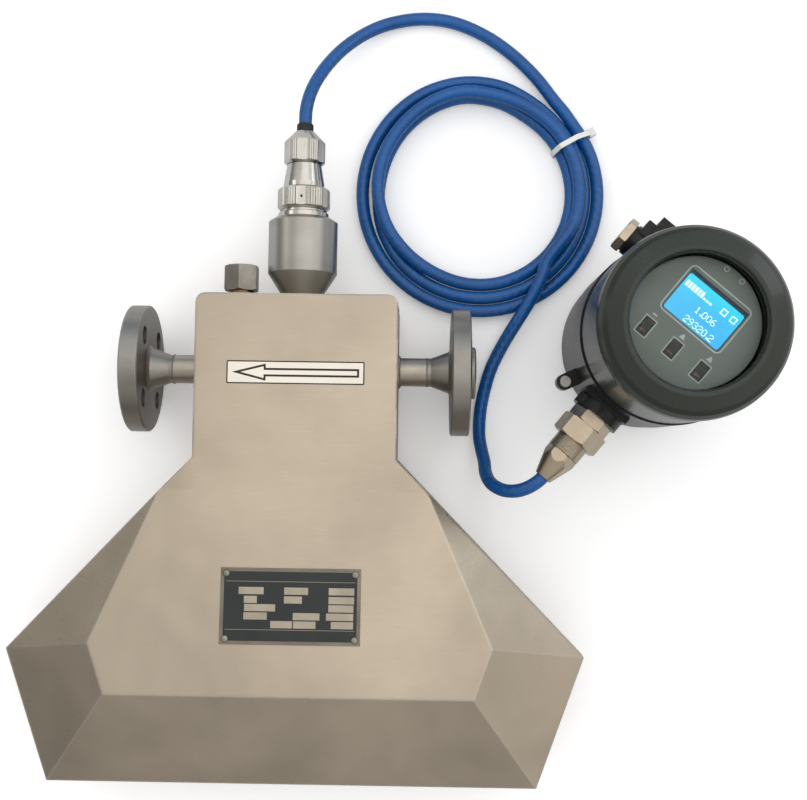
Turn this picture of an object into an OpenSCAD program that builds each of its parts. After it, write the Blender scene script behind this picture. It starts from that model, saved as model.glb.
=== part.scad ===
// Remote-mount coriolis flow meter lying on its back: a delta-tube sensor, a cable and a round transmitter.
// Origin: centre of the inlet flange face. +X leaves the inlet along the flow axis, +Y points from the sensor
// to its connector, +Z points up from the surface that everything lies on.

/* [Flow line] */
// Distance between the two flange faces
face_to_face = 254; // [220:1:320]
// Outside diameter of each flange
flange_d = 95; // [90:1:110]
// Thickness of each flange disc
flange_t = 14; // [10:1:22]
// Pitch circle of the flange bolts
bolt_circle = 65; // [62:1:70]
// Diameter of each flange bolt hole
bolt_hole_d = 14; // [8:0.5:15]
// Diameter of the raised male face
male_face_d = 39; // [28:1:44]
// Height of the raised male face
male_face_h = 4.5; // [2:0.5:6]
// Outside diameter of the process pipe
pipe_od = 21.3; // [19:0.1:25]
// Bore of the process pipe
pipe_id = 15; // [10:0.5:16]
// Largest diameter of the flange hub
hub_d = 31; // [28:1:36]
// Length of the flange hub's taper
hub_len = 18; // [8:1:22]

/* [Sensor casing] */
// Thickness of the casing sheet
sheet = 3; // [1.5:0.5:4]
// Width of the neck box
neck_w = 147; // [136:1:152]
// Height of the neck box above the flow axis
neck_rise = 53.5; // [46:0.5:60]
// Front-to-back thickness of the neck box
neck_t = 76; // [70:1:84]
// Corner radius at the top of the neck
neck_corner_r = 7; // [5:0.5:12]
// Drop from the flow axis to the shoulders
shoulder_drop = 66; // [62:1:76]
// Drop to the line where the panels bend outwards
bend_drop = 89; // [84:1:96]
// Drop to the widest corners
corner_drop = 209; // [200:1:220]
// Width across the widest corners
casing_w = 427; // [410:1:450]
// Front-to-back thickness at the widest corners
corner_t = 20; // [16:1:26]
// Drop to the bottom edge
bottom_drop = 303; // [292:1:320]
// Width of the bottom edge
bottom_w = 357; // [340:1:375]
// Width between the panel's widest corners
panel_w = 287; // [276:1:298]
// Drop to the panel's widest corners
panel_corner_drop = 198.5; // [192:0.5:204]
// Width of the panel's lower edge
panel_low_w = 262; // [250:1:272]
// Drop to the panel's lower edge
panel_low_drop = 234; // [228:1:244]
// Greatest front-to-back thickness, at the panel's lower edge
casing_t = 95; // [88:1:100]

/* [Measuring tubes] */
// Outside diameter of each measuring tube
tube_od = 12; // [10:0.5:13]
// Wall of each measuring tube
tube_wall = 1.2; // [0.8:0.1:1.6]
// Distance between the two tube planes
tube_spacing = 30; // [27:1:32]
// Distance from the sensor's middle to each upright leg
leg_x = 44; // [42:1:47]
// Drop to the bends below the upright legs
leg_drop = 62; // [58:1:66]
// Half width of the delta, measured to its sharp corner
delta_half_w = 205; // [190:1:208]
// Drop to the bottom run
delta_drop = 250; // [240:1:255]
// Radius of the upper bends
leg_bend_r = 40; // [30:1:50]
// Radius of the lower bends
delta_bend_r = 30; // [24:1:32]
// Distance of the pick-offs along the slanting legs, from the upper bends
pickoff_run = 136; // [110:1:150]
// Width of each manifold block along the pipe
manifold_w = 30; // [26:1:30]
// Height of each manifold block
manifold_h = 34; // [30:1:38]
// Thickness of each manifold block across the tubes
manifold_t = 56; // [52:1:60]

/* [Vent and socket] */
// Distance from the sensor's middle to the vent
vent_x = 46; // [40:1:50]
// Width across the flats of the vent cap
vent_cap_af = 24; // [22:1:28]
// Length of the vent cap
vent_cap_len = 19.4; // [16:0.2:24]
// Outside diameter of the socket housing
socket_d = 52; // [46:1:56]
// Length of the socket housing's straight part
socket_len = 42; // [34:1:50]
// Length of the cone below it
socket_cone_len = 19.5; // [14:0.5:24]
// Diameter of the cone's foot on the neck
socket_foot_d = 28; // [24:1:32]
// Outside diameter of the coupling nut
coupling_d = 39.6; // [37:0.2:42]
// Length of the coupling nut
coupling_len = 17.2; // [15:0.2:20]
// Length of the plug shell's cone
plug_cone_len = 20.4; // [16:0.2:26]
// Outside diameter of the clamp nut
clamp_d = 31; // [28:0.5:34]
// Length of the clamp nut, taper included
clamp_len = 25.3; // [22:0.1:30]
// Length of the rubber grommet that shows
grommet_len = 6.4; // [4:0.2:10]

/* [Plates] */
// Width of the flow-direction label
label_w = 100; // [80:1:110]
// Height of the flow-direction label
label_h = 17; // [12:1:22]
// Width of the nameplate
plate_w = 100; // [80:1:110]
// Height of the nameplate
plate_h = 54; // [44:1:60]
// Drop from the flow axis to the nameplate's middle
plate_drop = 171; // [164:1:178]
// Thickness of the nameplate
plate_t = 1; // [0.6:0.1:1.6]

/* [Cable] */
// Cable diameter
cable_d = 10; // [8:0.5:10]
// Middle radius of the coil's outer turn
coil_r = 93; // [92:0.5:94]

/* [Transmitter] */
// Diameter of the housing's middle
housing_d = 128; // [124:1:134]
// Height of the rear cover
rear_cover_h = 42; // [36:1:46]
// Height of the housing between the two covers
housing_h = 76; // [74:1:84]
// Height of the front cover
front_cover_h = 77; // [75:1:84]
// Diameter of the rear cover
rear_cover_d = 126; // [123:1:128]
// Diameter of the front cover
front_cover_d = 126; // [122:1:128]
// Diameter of the window opening
window_d = 87.4; // [86:0.2:90]
// Thickness of the window glass
glass_t = 6; // [4:0.5:8]
// Depth of the faceplate below the front cover's rim
faceplate_depth = 15; // [14:0.5:17]
// Diameter of the threaded necks
neck_d = 112; // [110:1:113]
// Bore of both compartments
compartment_d = 100; // [97:1:102]
// Height of the cable entries' axis above the surface
entry_h = 70; // [66:1:72]
// Distance from the housing's axis to the end of the cable entry
entry_reach = 74; // [72:1:80]
// Distance from the housing's axis to the end of the spare entry
spare_reach = 64; // [62:1:68]
// Sideways offset of the spare entry
spare_offset = 42; // [38:1:42]

/* [Display] */
// Width of the display window
lcd_w = 45.8; // [40:0.2:48]
// Height of the display window
lcd_h = 31.2; // [28:0.2:33]
// Distance from the faceplate's middle up to the display's middle
lcd_up = 10.8; // [9:0.2:12]
// Width of each key window
key_w = 7.9; // [6:0.1:10]
// Height of each key window
key_h = 12.2; // [9:0.1:13]
// Distance between key windows
key_pitch = 22.5; // [16:0.5:23]
// Distance from the faceplate's middle down to the key windows
key_down = 21.7; // [20.5:0.1:22.5]

/* [Gland] */
// Width across the flats of the gland adapter
adapter_af = 28; // [26:0.5:30]
// Width across the flats of the gland body
gland_af = 32; // [30:0.5:34]
// Diameter of the gland's threaded barrel
gland_barrel_d = 25; // [23:0.5:26]
// Length of the gland cap
gland_cap_len = 23; // [20:0.5:26]

/* [Hidden] */
$fn = 96;

// Clearances: a welded or pressed seat, a seat that is screwed or slid together, and a thread that turns
weld_gap = 0.1;
seat_gap = 0.2;
thread_gap = 0.3;
over = 1; // how far a cutting shape runs past the face it opens

floor_z = -max(flange_d, casing_t) / 2;
mid_x = -face_to_face / 2; // the sensor's middle
transmitter_x = 137.5;
transmitter_y = 25;
display_turn = -39.5; // how the display stands turned on the surface

adapter_hex_t = 9;
gland_hex_t = 15;
gland_barrel_len = 11;
cap_over = 9; // how far the cap covers the barrel's thread
gland_bore_d = cable_d + 2 * thread_gap;
gland_tip = entry_reach + adapter_hex_t + gland_hex_t + gland_barrel_len + gland_cap_len;

// ---- shared shapes ----

// A body of revolution about the local Z axis, from its half section as [radius, height] points
module turned(section) rotate_extrude() polygon(section);

// Children drawn along local Z are laid along one of the axes
module along_x() rotate([0, 90, 0]) children();
module along_y() rotate([-90, 0, 0]) children();

// Children are placed about the sensor's middle, on the flow axis
module at_sensor() translate([mid_x, 0, 0]) children();

// Children are placed on the transmitter's axis, with Z counted from the surface
module at_transmitter() translate([transmitter_x, transmitter_y, floor_z]) rotate([0, 0, display_turn]) children();

// A hexagon bar with both ends chamfered as a turned nut is
module hex_bar(af, len, chamfer_low, chamfer_high) {
    corner_r = af / 2 / cos(30);
    intersection() {
        cylinder(h = len, r = corner_r, $fn = 6);
        turned([[0, 0], [corner_r - chamfer_low * 2, 0], [corner_r + 0.01, chamfer_low],
            [corner_r + 0.01, len - chamfer_high], [corner_r - chamfer_high * 2, len], [0, len]]);
    }
}

// Outline of a nut that is knurled in sectors between plain flats
function knurled_outline(r, flat_angle, teeth, depth) = [
    for (s = [0:5], k = [0:2 * teeth])
        let(a = s * 60 + flat_angle / 2 + k * (60 - flat_angle) / (2 * teeth), rr = k % 2 == 0 ? r - depth : r)
        [rr * cos(a), rr * sin(a)]];

up = [0, 0, 1];

// A round tube of radius r swept along the points, with its end faces square to first_way and last_way
module swept(points, r, sides, first_way, last_way) {
    last = len(points) - 1;
    rings = [for (i = [0:last])
        let(w = i == 0 ? first_way : i == last ? last_way : points[i + 1] - points[i - 1],
            t = w / norm(w), side = cross(t, abs(t[2]) > 0.9 ? [1, 0, 0] : up), s = side / norm(side), n = cross(s, t))
        for (k = [0:sides - 1]) let(a = (k + 0.5) * 360 / sides) points[i] + r * (s * cos(a) + n * sin(a))];
    walls = [for (i = [0:last - 1], k = [0:sides - 1])
        let(a = i * sides + k, b = i * sides + (k + 1) % sides) [a, b, b + sides, a + sides]];
    first_cap = [for (k = [sides - 1:-1:0]) k];
    last_cap = [for (k = [0:sides - 1]) last * sides + k];
    polyhedron(points = rings, faces = concat(walls, [first_cap], [last_cap]));
}

// A stiff wire along the points
module wire(points, r) {
    last = len(points) - 1;
    swept(points, r, 6, points[1] - points[0], points[last] - points[last - 1]);
}

// ---- sensor casing ----
// The lower casing is bounded by flat panels. Each panel is a plane [outward normal, distance], and each corner
// is where three planes meet, so moving every plane inwards by the sheet gives the inside.

inside_point = [0, -150, 0];
function plane(p, q, r) =
    let(n = cross(q - p, r - p) / norm(cross(q - p, r - p)), out = n * (inside_point - p) < 0 ? n : -n)
    [out, out * p];
function moved_in(pl, t) = [pl[0], pl[1] - t];
function meet(a, b, c) =
    (a[1] * cross(b[0], c[0]) + b[1] * cross(c[0], a[0]) + c[1] * cross(a[0], b[0])) / (a[0] * cross(b[0], c[0]));

shoulder = [neck_w / 2, -shoulder_drop, 0];
widest = [casing_w / 2, -corner_drop, 0];
lowest = [bottom_w / 2, -bottom_drop, 0];
mid_plane = [up, 0];
neck_face = [up, neck_t / 2];
neck_side = [[1, 0, 0], neck_w / 2];
bend_line = [[0, 1, 0], -bend_drop];
bottom_wall = [[0, -1, 0], bottom_drop];
upper_wall = plane(shoulder, widest, widest + up);
lower_wall = plane(widest, lowest, lowest + up);
bend_end = meet(bend_line, upper_wall, neck_face);
panel_low = [panel_low_w / 2, -panel_low_drop, casing_t / 2];
panel = plane(bend_end, [0, -bend_drop, neck_t / 2], panel_low);
panel_corner = meet(panel, [[1, 0, 0], panel_w / 2], [[0, 1, 0], -panel_corner_drop]);
widest_edge = widest + [0, 0, corner_t / 2];
upper_bevel = plane(bend_end, panel_corner, widest_edge);
lower_bevel = plane(panel_corner, panel_low, widest_edge);
lowest_edge = meet(lower_bevel, lower_wall, bottom_wall);
bottom_bevel = plane(panel_low, [0, -panel_low_drop, casing_t / 2], lowest_edge);

panel_slope = atan((casing_t - neck_t) / 2 / (panel_low_drop - bend_drop));
function panel_z(y) = neck_t / 2 + (-y - bend_drop) * tan(panel_slope);

// The casing's outer form, with every face moved in by t
module casing_form(t) {
    foot = meet(bend_line, moved_in(upper_wall, t), moved_in(neck_face, t));
    bend = meet(mid_plane, moved_in(upper_wall, t), moved_in(neck_side, t));
    corner_r = neck_corner_r - t;
    corner = [neck_w / 2 - neck_corner_r, neck_rise - neck_corner_r];
    side = concat([[foot[0], foot[1]], [bend[0], bend[1]]],
        [for (a = [0:15:90]) corner + corner_r * [cos(a), sin(a)]]);
    other_side = [for (i = [len(side) - 1:-1:0]) [-side[i][0], side[i][1]]];
    linear_extrude(height = neck_t - 2 * t, center = true) polygon(concat(side, other_side));
    low_corners = [
        foot,
        meet(moved_in(panel, t), moved_in(upper_bevel, t), moved_in(lower_bevel, t)),
        meet(moved_in(upper_bevel, t), moved_in(upper_wall, t), moved_in(lower_wall, t)),
        meet(moved_in(panel, t), moved_in(lower_bevel, t), moved_in(bottom_bevel, t)),
        meet(moved_in(lower_bevel, t), moved_in(lower_wall, t), moved_in(bottom_wall, t))];
    all_corners = [for (c = low_corners, sx = [1, -1], sz = [1, -1]) [sx * c[0], c[1], sz * c[2]]];
    hull() polyhedron(points = all_corners, faces = [[for (i = [0:len(all_corners) - 1]) i]]);
}

module casing_half() {
    difference() {
        casing_form(0);
        casing_form(sheet);
        translate([-casing_w, -2 * bottom_drop, -casing_t]) cube([2 * casing_w, 4 * bottom_drop, casing_t]);
        along_x() cylinder(h = casing_w, d = pipe_od + 2 * weld_gap, center = true);
        translate([-vent_x, 0, 0]) along_y() cylinder(h = neck_rise + over, d = vent_foot_d + 2 * weld_gap);
        along_y() cylinder(h = neck_rise + over, d = socket_foot_d + 2 * weld_gap);
    }
}

module casing_front() {
    color("#b9ab97") at_sensor() difference() {
        casing_half();
        at_nameplate() rivet_places() translate([0, 0, -4 * sheet]) cylinder(h = 5 * sheet, d = rivet_d + 2 * weld_gap);
    }
}

module casing_rear() {
    color("#a99c8a") at_sensor() mirror([0, 0, 1]) casing_half();
}

// ---- flow line ----

hub_small_d = pipe_od;
flange_len = flange_t + hub_len;

// A weld-neck flange with its face at the local origin, looking along +Z
module flange_form() {
    difference() {
        turned([[pipe_id / 2, male_face_h], [male_face_d / 2 - 1, male_face_h], [male_face_d / 2, male_face_h - 1],
            [male_face_d / 2, 0], [flange_d / 2 - 1, 0], [flange_d / 2, -1], [flange_d / 2, 1 - flange_t],
            [flange_d / 2 - 1, -flange_t], [hub_d / 2 + 2, -flange_t], [hub_d / 2, -flange_t - 2],
            [hub_small_d / 2, -flange_len + 3], [hub_small_d / 2, -flange_len], [pipe_id / 2, -flange_len]]);
        for (a = [45:90:315]) rotate(a) translate([bolt_circle / 2, 0, -flange_t - over])
            cylinder(h = flange_t + 2 * over, d = bolt_hole_d);
    }
}

module inlet_flange() {
    color("#9a9a98") along_x() flange_form();
}

module outlet_flange() {
    color("#9a9a98") at_sensor() translate([-face_to_face / 2, 0, 0]) mirror([1, 0, 0]) along_x() flange_form();
}

spool_start = leg_x + manifold_w / 2;
spool_len = face_to_face / 2 - flange_len - spool_start;

module spool_form() {
    translate([spool_start, 0, 0]) along_x() turned([[pipe_id / 2, 0], [pipe_od / 2, 0], [pipe_od / 2, spool_len],
        [pipe_id / 2, spool_len]]);
}

module inlet_spool() {
    color("#a8a29a") at_sensor() spool_form();
}

module outlet_spool() {
    color("#a8a29a") at_sensor() mirror([1, 0, 0]) spool_form();
}

// ---- measuring mechanism ----

tube_z = tube_spacing / 2;
tube_id = tube_od - 2 * tube_wall;
socket_depth = 6; // how far each tube enters its manifold
tube_start = -manifold_h / 2 + socket_depth;

// A splitter block: one bore from the pipe, two slanting bores down to the measuring tubes
module manifold_form() {
    half_h = manifold_h / 2;
    half_w = manifold_w / 2;
    chamfer = 5;
    translate([leg_x, 0, 0]) difference() {
        linear_extrude(height = manifold_t, center = true) polygon([[-half_w, -half_h], [half_w, -half_h],
            [half_w, half_h - chamfer], [half_w - chamfer, half_h], [chamfer - half_w, half_h],
            [-half_w, half_h - chamfer]]);
        along_x() cylinder(h = half_w + over, d = pipe_id);
        sphere(d = pipe_id);
        for (z = [-tube_z, tube_z]) {
            slanting_bore(z);
            translate([0, tube_start, z]) rotate([90, 0, 0])
                cylinder(h = socket_depth + over, d = tube_od + 2 * weld_gap);
        }
    }
}

// The bore from the block's middle to the end of one tube
module slanting_bore(z) {
    rotate([atan2(-tube_start, z), 0, 0]) cylinder(h = norm([tube_start, z]), d = tube_id);
}

module inlet_manifold() {
    color("#8f9296") at_sensor() manifold_form();
}

module outlet_manifold() {
    color("#8f9296") at_sensor() mirror([1, 0, 0]) manifold_form();
}

beam_len = 2 * leg_x - manifold_w;
beam_h = 16;
beam_w = 20;
beam_web = 5;

// An I-section bar that holds the two manifolds apart
module support_beam() {
    flange_in = beam_h / 2 - beam_web;
    color("#7f8388") at_sensor() rotate([90, 0, 90]) linear_extrude(height = beam_len, center = true)
        difference() {
            square([beam_h, beam_w], center = true);
            for (side = [-1, 1]) translate([-flange_in, side > 0 ? beam_web / 2 : -beam_w])
                square([2 * flange_in, beam_w - beam_web / 2]);
        }
}

delta_path = [[leg_x, tube_start], [leg_x, -leg_drop], [delta_half_w, -delta_drop], [-delta_half_w, -delta_drop],
    [-leg_x, -leg_drop], [-leg_x, tube_start]];
bend_radii = [0, leg_bend_r, delta_bend_r, delta_bend_r, leg_bend_r, 0];

function way(i) = (delta_path[i + 1] - delta_path[i]) / norm(delta_path[i + 1] - delta_path[i]);
function heading(v) = atan2(v[1], v[0]);
function turn(i) = let(d = heading(way(i)) - heading(way(i - 1))) d > 180 ? d - 360 : d < -180 ? d + 360 : d;
function trim(i) = i == 0 || i == len(delta_path) - 1 ? 0 : bend_radii[i] * tan(abs(turn(i)) / 2);

// Points round the bend at corner i of the delta path
function bend_points(i, steps) =
    let(side = turn(i) > 0 ? 1 : -1, across = side * [-way(i - 1)[1], way(i - 1)[0]],
        centre = delta_path[i] - way(i - 1) * trim(i) + bend_radii[i] * across)
    [for (k = [0:steps]) let(a = abs(turn(i)) * k / steps)
        centre + bend_radii[i] * (way(i - 1) * sin(a) - across * cos(a))];

bend_steps = [0, 3, 8, 8, 3, 0];
delta_line = concat([delta_path[0]], [for (i = [1:4]) each bend_points(i, bend_steps[i])], [delta_path[5]]);

// A thin-walled tube that follows the delta line
module flow_tube() {
    sides = 16;
    last = len(delta_line) - 1;
    function ring(i, r) =
        let(w = delta_line[min(i + 1, last)] - delta_line[max(i - 1, 0)], across = [-w[1], w[0]] / norm(w))
        [for (k = [0:sides - 1]) let(a = k * 360 / sides, flat = delta_line[i] + r * cos(a) * across)
            [flat[0], flat[1], r * sin(a)]];
    outer = [for (i = [0:last]) each ring(i, tube_od / 2)];
    inner = [for (i = [0:last]) each ring(i, tube_id / 2)];
    base = len(outer);
    function at(i, k) = i * sides + k % sides;
    polyhedron(points = concat(outer, inner), faces = concat(
        [for (i = [0:last - 1], k = [0:sides - 1]) [at(i + 1, k), at(i + 1, k + 1), at(i, k + 1), at(i, k)]],
        [for (i = [0:last - 1], k = [0:sides - 1])
            [base + at(i, k), base + at(i, k + 1), base + at(i + 1, k + 1), base + at(i + 1, k)]],
        [for (k = [0:sides - 1]) [at(0, k), at(0, k + 1), base + at(0, k + 1), base + at(0, k)]],
        [for (k = [0:sides - 1]) [base + at(last, k), base + at(last, k + 1), at(last, k + 1), at(last, k)]]));
}

module front_flow_tube() {
    color("#c4c8cc") at_sensor() translate([0, 0, tube_z]) flow_tube();
}

module rear_flow_tube() {
    color("#c4c8cc") at_sensor() translate([0, 0, -tube_z]) flow_tube();
}

brace_t = 2;
brace_r = 9;
upper_brace_drop = manifold_h / 2 + 10;
brace_step = 12;

// Flat plates that tie the two tubes together just below the manifolds
module brace_plates() {
    color("#9da1a6") at_sensor() for (sx = [-1, 1], drop = [upper_brace_drop, upper_brace_drop + brace_step])
        translate([sx * leg_x, -drop, 0]) rotate([90, 0, 0]) difference() {
            linear_extrude(height = brace_t, center = true) union() {
                square([2 * brace_r, tube_spacing], center = true);
                for (z = [-tube_z, tube_z]) translate([0, z]) circle(r = brace_r);
            }
            for (z = [-tube_z, tube_z]) translate([0, z, 0])
                cylinder(h = 2 * brace_t, d = tube_od + 2 * weld_gap, center = true);
        }
}

saddle = 14;
coil_bore_r = 4.5;
magnet_r = 3.8;
coil_reach = 3; // how far past the mid plane a coil reaches towards the front tube

// A wound bobbin on a saddle that sits on the rear tube, its axis across the two tubes
module coil_form(r) {
    bottom = tube_od / 2 - tube_z;
    difference() {
        union() {
            translate([-saddle / 2, -saddle / 2, -tube_z]) cube([saddle, saddle, tube_od / 2 + 1.5]);
            turned([[0, bottom + 1], [r, bottom + 1], [r, bottom + 2.5], [r - 1.2, bottom + 2.5],
                [r - 1.2, coil_reach - 1.5], [r, coil_reach - 1.5], [r, coil_reach], [0, coil_reach]]);
        }
        translate([0, 0, bottom + 2]) cylinder(h = tube_z + coil_reach, r = coil_bore_r);
        translate([0, 0, -tube_z]) along_x() cylinder(h = 2 * saddle, d = tube_od + 2 * weld_gap, center = true);
    }
}

// A magnet on a saddle that sits on the front tube and reaches into the coil
module magnet_form() {
    top = tube_z - tube_od / 2;
    difference() {
        union() {
            translate([-saddle / 2, -saddle / 2, top - 1.5]) cube([saddle, saddle, tube_od / 2 + 1.5]);
            translate([0, 0, -4]) cylinder(h = top + 4, r = magnet_r);
        }
        translate([0, 0, tube_z]) along_x() cylinder(h = 2 * saddle, d = tube_od + 2 * weld_gap, center = true);
    }
}

pickoff_at = delta_path[1] + way(1) * pickoff_run;
drive_coil_r = 9;
pickoff_coil_r = 7.5;

module at_pickoff() translate(pickoff_at) rotate(heading(way(1))) children();

module drive_coil() {
    color("#b5651d") at_sensor() translate([0, -delta_drop, 0]) coil_form(drive_coil_r);
}

module drive_magnet() {
    color("#6f7377") at_sensor() translate([0, -delta_drop, 0]) magnet_form();
}

module inlet_pickoff_coil() {
    color("#b5651d") at_sensor() at_pickoff() coil_form(pickoff_coil_r);
}

module inlet_pickoff_magnet() {
    color("#6f7377") at_sensor() at_pickoff() magnet_form();
}

module outlet_pickoff_coil() {
    color("#b5651d") at_sensor() mirror([1, 0, 0]) at_pickoff() coil_form(pickoff_coil_r);
}

module outlet_pickoff_magnet() {
    color("#6f7377") at_sensor() mirror([1, 0, 0]) at_pickoff() magnet_form();
}

probe_r = 2;

// A resistance thermometer clipped to the front tube between the brace plates
module temperature_sensor() {
    gap = 1; // between the probe and each plate
    color("#d8d8d8") at_sensor()
        translate([leg_x + tube_od / 2 + probe_r + weld_gap, -upper_brace_drop - brace_t / 2 - gap, tube_z])
        rotate([90, 0, 0]) cylinder(h = brace_step - brace_t - 2 * gap, r = probe_r, $fn = 32);
}

wire_r = 1;
board_t = 1.6;
header_h = 6;

// The solder board on the support beam and the wires to the coils and to the socket
module sensor_harness() {
    board_y = beam_h / 2;
    edge = beam_w / 2 + wire_r + 0.5;
    pickoff = [pickoff_at[0], pickoff_at[1], 0];
    below_beam = [14, -beam_h / 2 - 16, 0];
    to_beam = (below_beam - pickoff) / norm(below_beam - pickoff);
    color("#2f6b3a") at_sensor() {
        translate([-beam_len / 2 + 4, board_y, -beam_w / 2 - 3]) cube([beam_len - 8, board_t, beam_w + 6]);
        translate([-8, board_y + board_t, -4]) cube([16, header_h, 8]);
        for (x = [-5, 0, 5])
            wire([[x, board_y + board_t + header_h, 0], [x / 2, socket_floor + 6, 0],
                [x, insert_back - wire_r - 0.2, 0]], wire_r);
        wire([[6, board_y + board_t, edge], [6, -beam_h / 2 - 6, edge], [3, -delta_drop + drive_coil_r + 12, 0],
            [0, -delta_drop + drive_coil_r + wire_r + 0.3, 0]], wire_r);
        for (sx = [-1, 1]) mirror([sx < 0 ? 1 : 0, 0, 0])
            wire([[12, board_y + board_t, edge], [12, -beam_h / 2 - 6, edge], below_beam,
                pickoff + to_beam * (pickoff_coil_r + wire_r + 0.3)], wire_r);
    }
}

// ---- vent ----

vent_foot_d = 20;
vent_foot_h = 4.6; // how far the stub's foot stands above the neck
vent_thread_d = 14;
vent_thread_len = 13;
vent_seal_t = 1.5;
vent_seat = neck_rise + vent_foot_h;

module vent_stub() {
    color("#8d8d8b") at_sensor() translate([-vent_x, neck_rise - sheet, 0]) along_y() turned([[3, 0],
        [vent_foot_d / 2, 0], [vent_foot_d / 2, sheet + vent_foot_h], [vent_thread_d / 2, sheet + vent_foot_h],
        [vent_thread_d / 2, sheet + vent_foot_h + vent_thread_len - 1],
        [vent_thread_d / 2 - 1, sheet + vent_foot_h + vent_thread_len], [3, sheet + vent_foot_h + vent_thread_len]]);
}

module vent_seal() {
    inner_r = vent_thread_d / 2 + thread_gap;
    outer_r = vent_foot_d / 2 - 0.5;
    color("#a2703c") at_sensor() translate([-vent_x, vent_seat, 0]) along_y()
        turned([[inner_r, 0], [outer_r, 0], [outer_r, vent_seal_t], [inner_r, vent_seal_t]]);
}

module vent_cap() {
    color("#8f8f8c") at_sensor() translate([-vent_x, vent_seat + vent_seal_t, 0]) along_y() difference() {
        rotate(30) hex_bar(vent_cap_af, vent_cap_len, 1, 1.2);
        translate([0, 0, -over])
            cylinder(h = vent_thread_len - vent_seal_t + 1 + over, d = vent_thread_d + 2 * thread_gap);
    }
}

// ---- socket and plug ----

socket_floor = neck_rise + socket_cone_len; // where the cone ends and the straight part starts
socket_top = socket_floor + socket_len;
socket_wall = 5;
ring_h = 4.3;
shell_r = coupling_d / 2 - 2.8; // outside of the receptacle's thread
shell_bore_r = shell_r - 2.7;
insert_t = 8;
insert_back = socket_top - 3;
shell_top = socket_top + ring_h + 14;
coupling_start = socket_top + ring_h + 1.1;
coupling_lip = 1.6;
plug_neck_r = 11.6;
cone_start = coupling_start + coupling_len + 0.4;
cone_end = cone_start + plug_cone_len;
cone_low_r = 15.3;
cone_high_r = 13;
clamp_start = cone_end - 2;
clamp_top = clamp_start + clamp_len;
clamp_taper = 8.5;
spigot_r = clamp_d / 2 - 4.5;
spigot_top = clamp_top - clamp_taper - 3;
grommet_r = cable_d / 2 + 1.3;
cable_start = clamp_top + grommet_len;

// The turned stainless housing that the connector stands on, hollow for its wires
module socket_housing() {
    r = socket_d / 2;
    foot_r = socket_foot_d / 2;
    color("#8e8a84") at_sensor() along_y() turned([[foot_r - 4, neck_rise - sheet], [foot_r, neck_rise - sheet],
        [foot_r, neck_rise + 1], [r, socket_floor], [r, socket_top - 3], [r - 4.5, socket_top],
        [shell_bore_r + 1, socket_top], [shell_bore_r + 1, socket_top - 4], [r - socket_wall, socket_top - 8],
        [r - socket_wall, socket_floor + 2], [foot_r - 4, neck_rise + 5]]);
}

// The fixed half of the connector: a clamping ring and a threaded shell
module receptacle() {
    color("#c9c5bb") at_sensor() along_y() turned([[shell_bore_r, socket_top], [shell_r + 2, socket_top],
        [shell_r + 2, socket_top + ring_h - 0.6], [shell_r + 1.4, socket_top + ring_h],
        [shell_r, socket_top + ring_h], [shell_r, shell_top - 0.8], [shell_r - 0.8, shell_top],
        [shell_bore_r, shell_top]]);
}

pin_r = 0.8;
pin_circle = 9;
pin_count = 8;
pin_len = 6;

module pin_places() for (i = [0:pin_count - 1]) rotate(i * 360 / pin_count) translate([pin_circle, 0, 0]) children();

// The insulator with its ring of pins
module receptacle_insert() {
    color("#2b2b2d") at_sensor() translate([0, insert_back, 0]) along_y() {
        cylinder(h = insert_t, r = shell_bore_r - seat_gap);
        pin_places() cylinder(h = insert_t + pin_len, r = pin_r, $fn = 24);
    }
}

plug_insert_start = insert_back + insert_t + 0.3;

// The plug's insulator with the holes that take the pins
module plug_insert() {
    color("#3a3a3c") at_sensor() translate([0, plug_insert_start, 0]) along_y() difference() {
        cylinder(h = shell_top + 0.3 - plug_insert_start, r = shell_bore_r - seat_gap);
        pin_places() translate([0, 0, -over]) cylinder(h = pin_len + 1 + over, r = pin_r + seat_gap, $fn = 24);
    }
}

// The plug's backshell: a flange under the coupling nut's lip, a cone, and a spigot for the clamp nut
module plug_shell() {
    flange_y = shell_top + 0.3;
    bore_r = cable_d / 2 + 2;
    color("#cfcabf") at_sensor() along_y() turned([[bore_r, flange_y], [shell_r - thread_gap, flange_y],
        [shell_r - thread_gap, coupling_start + coupling_len - coupling_lip - thread_gap],
        [plug_neck_r, coupling_start + coupling_len - coupling_lip - thread_gap], [plug_neck_r, cone_start],
        [cone_low_r - 0.5, cone_start], [cone_low_r, cone_start + 0.5], [cone_low_r, cone_start + 4],
        [cone_high_r, cone_end - 2 - thread_gap], [spigot_r, cone_end - 2 - thread_gap], [spigot_r, spigot_top],
        [bore_r, spigot_top]]);
}

// The nut that pulls the plug home, knurled in sectors between six plain flats
module coupling_nut() {
    r = coupling_d / 2;
    color("#d2cdc0") at_sensor() translate([0, coupling_start, 0]) along_y() difference() {
        intersection() {
            rotate(90) linear_extrude(height = coupling_len) polygon(knurled_outline(r, 18, 7, 0.45));
            turned([[0, 0], [r - 3, 0], [r + 0.05, 3.05], [r + 0.05, coupling_len - 1.55], [r - 1.5, coupling_len],
                [0, coupling_len]]);
        }
        translate([0, 0, -over]) cylinder(h = coupling_len - coupling_lip + over, r = shell_r + thread_gap);
        cylinder(h = coupling_len + over, r = plug_neck_r + thread_gap);
    }
}

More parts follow.
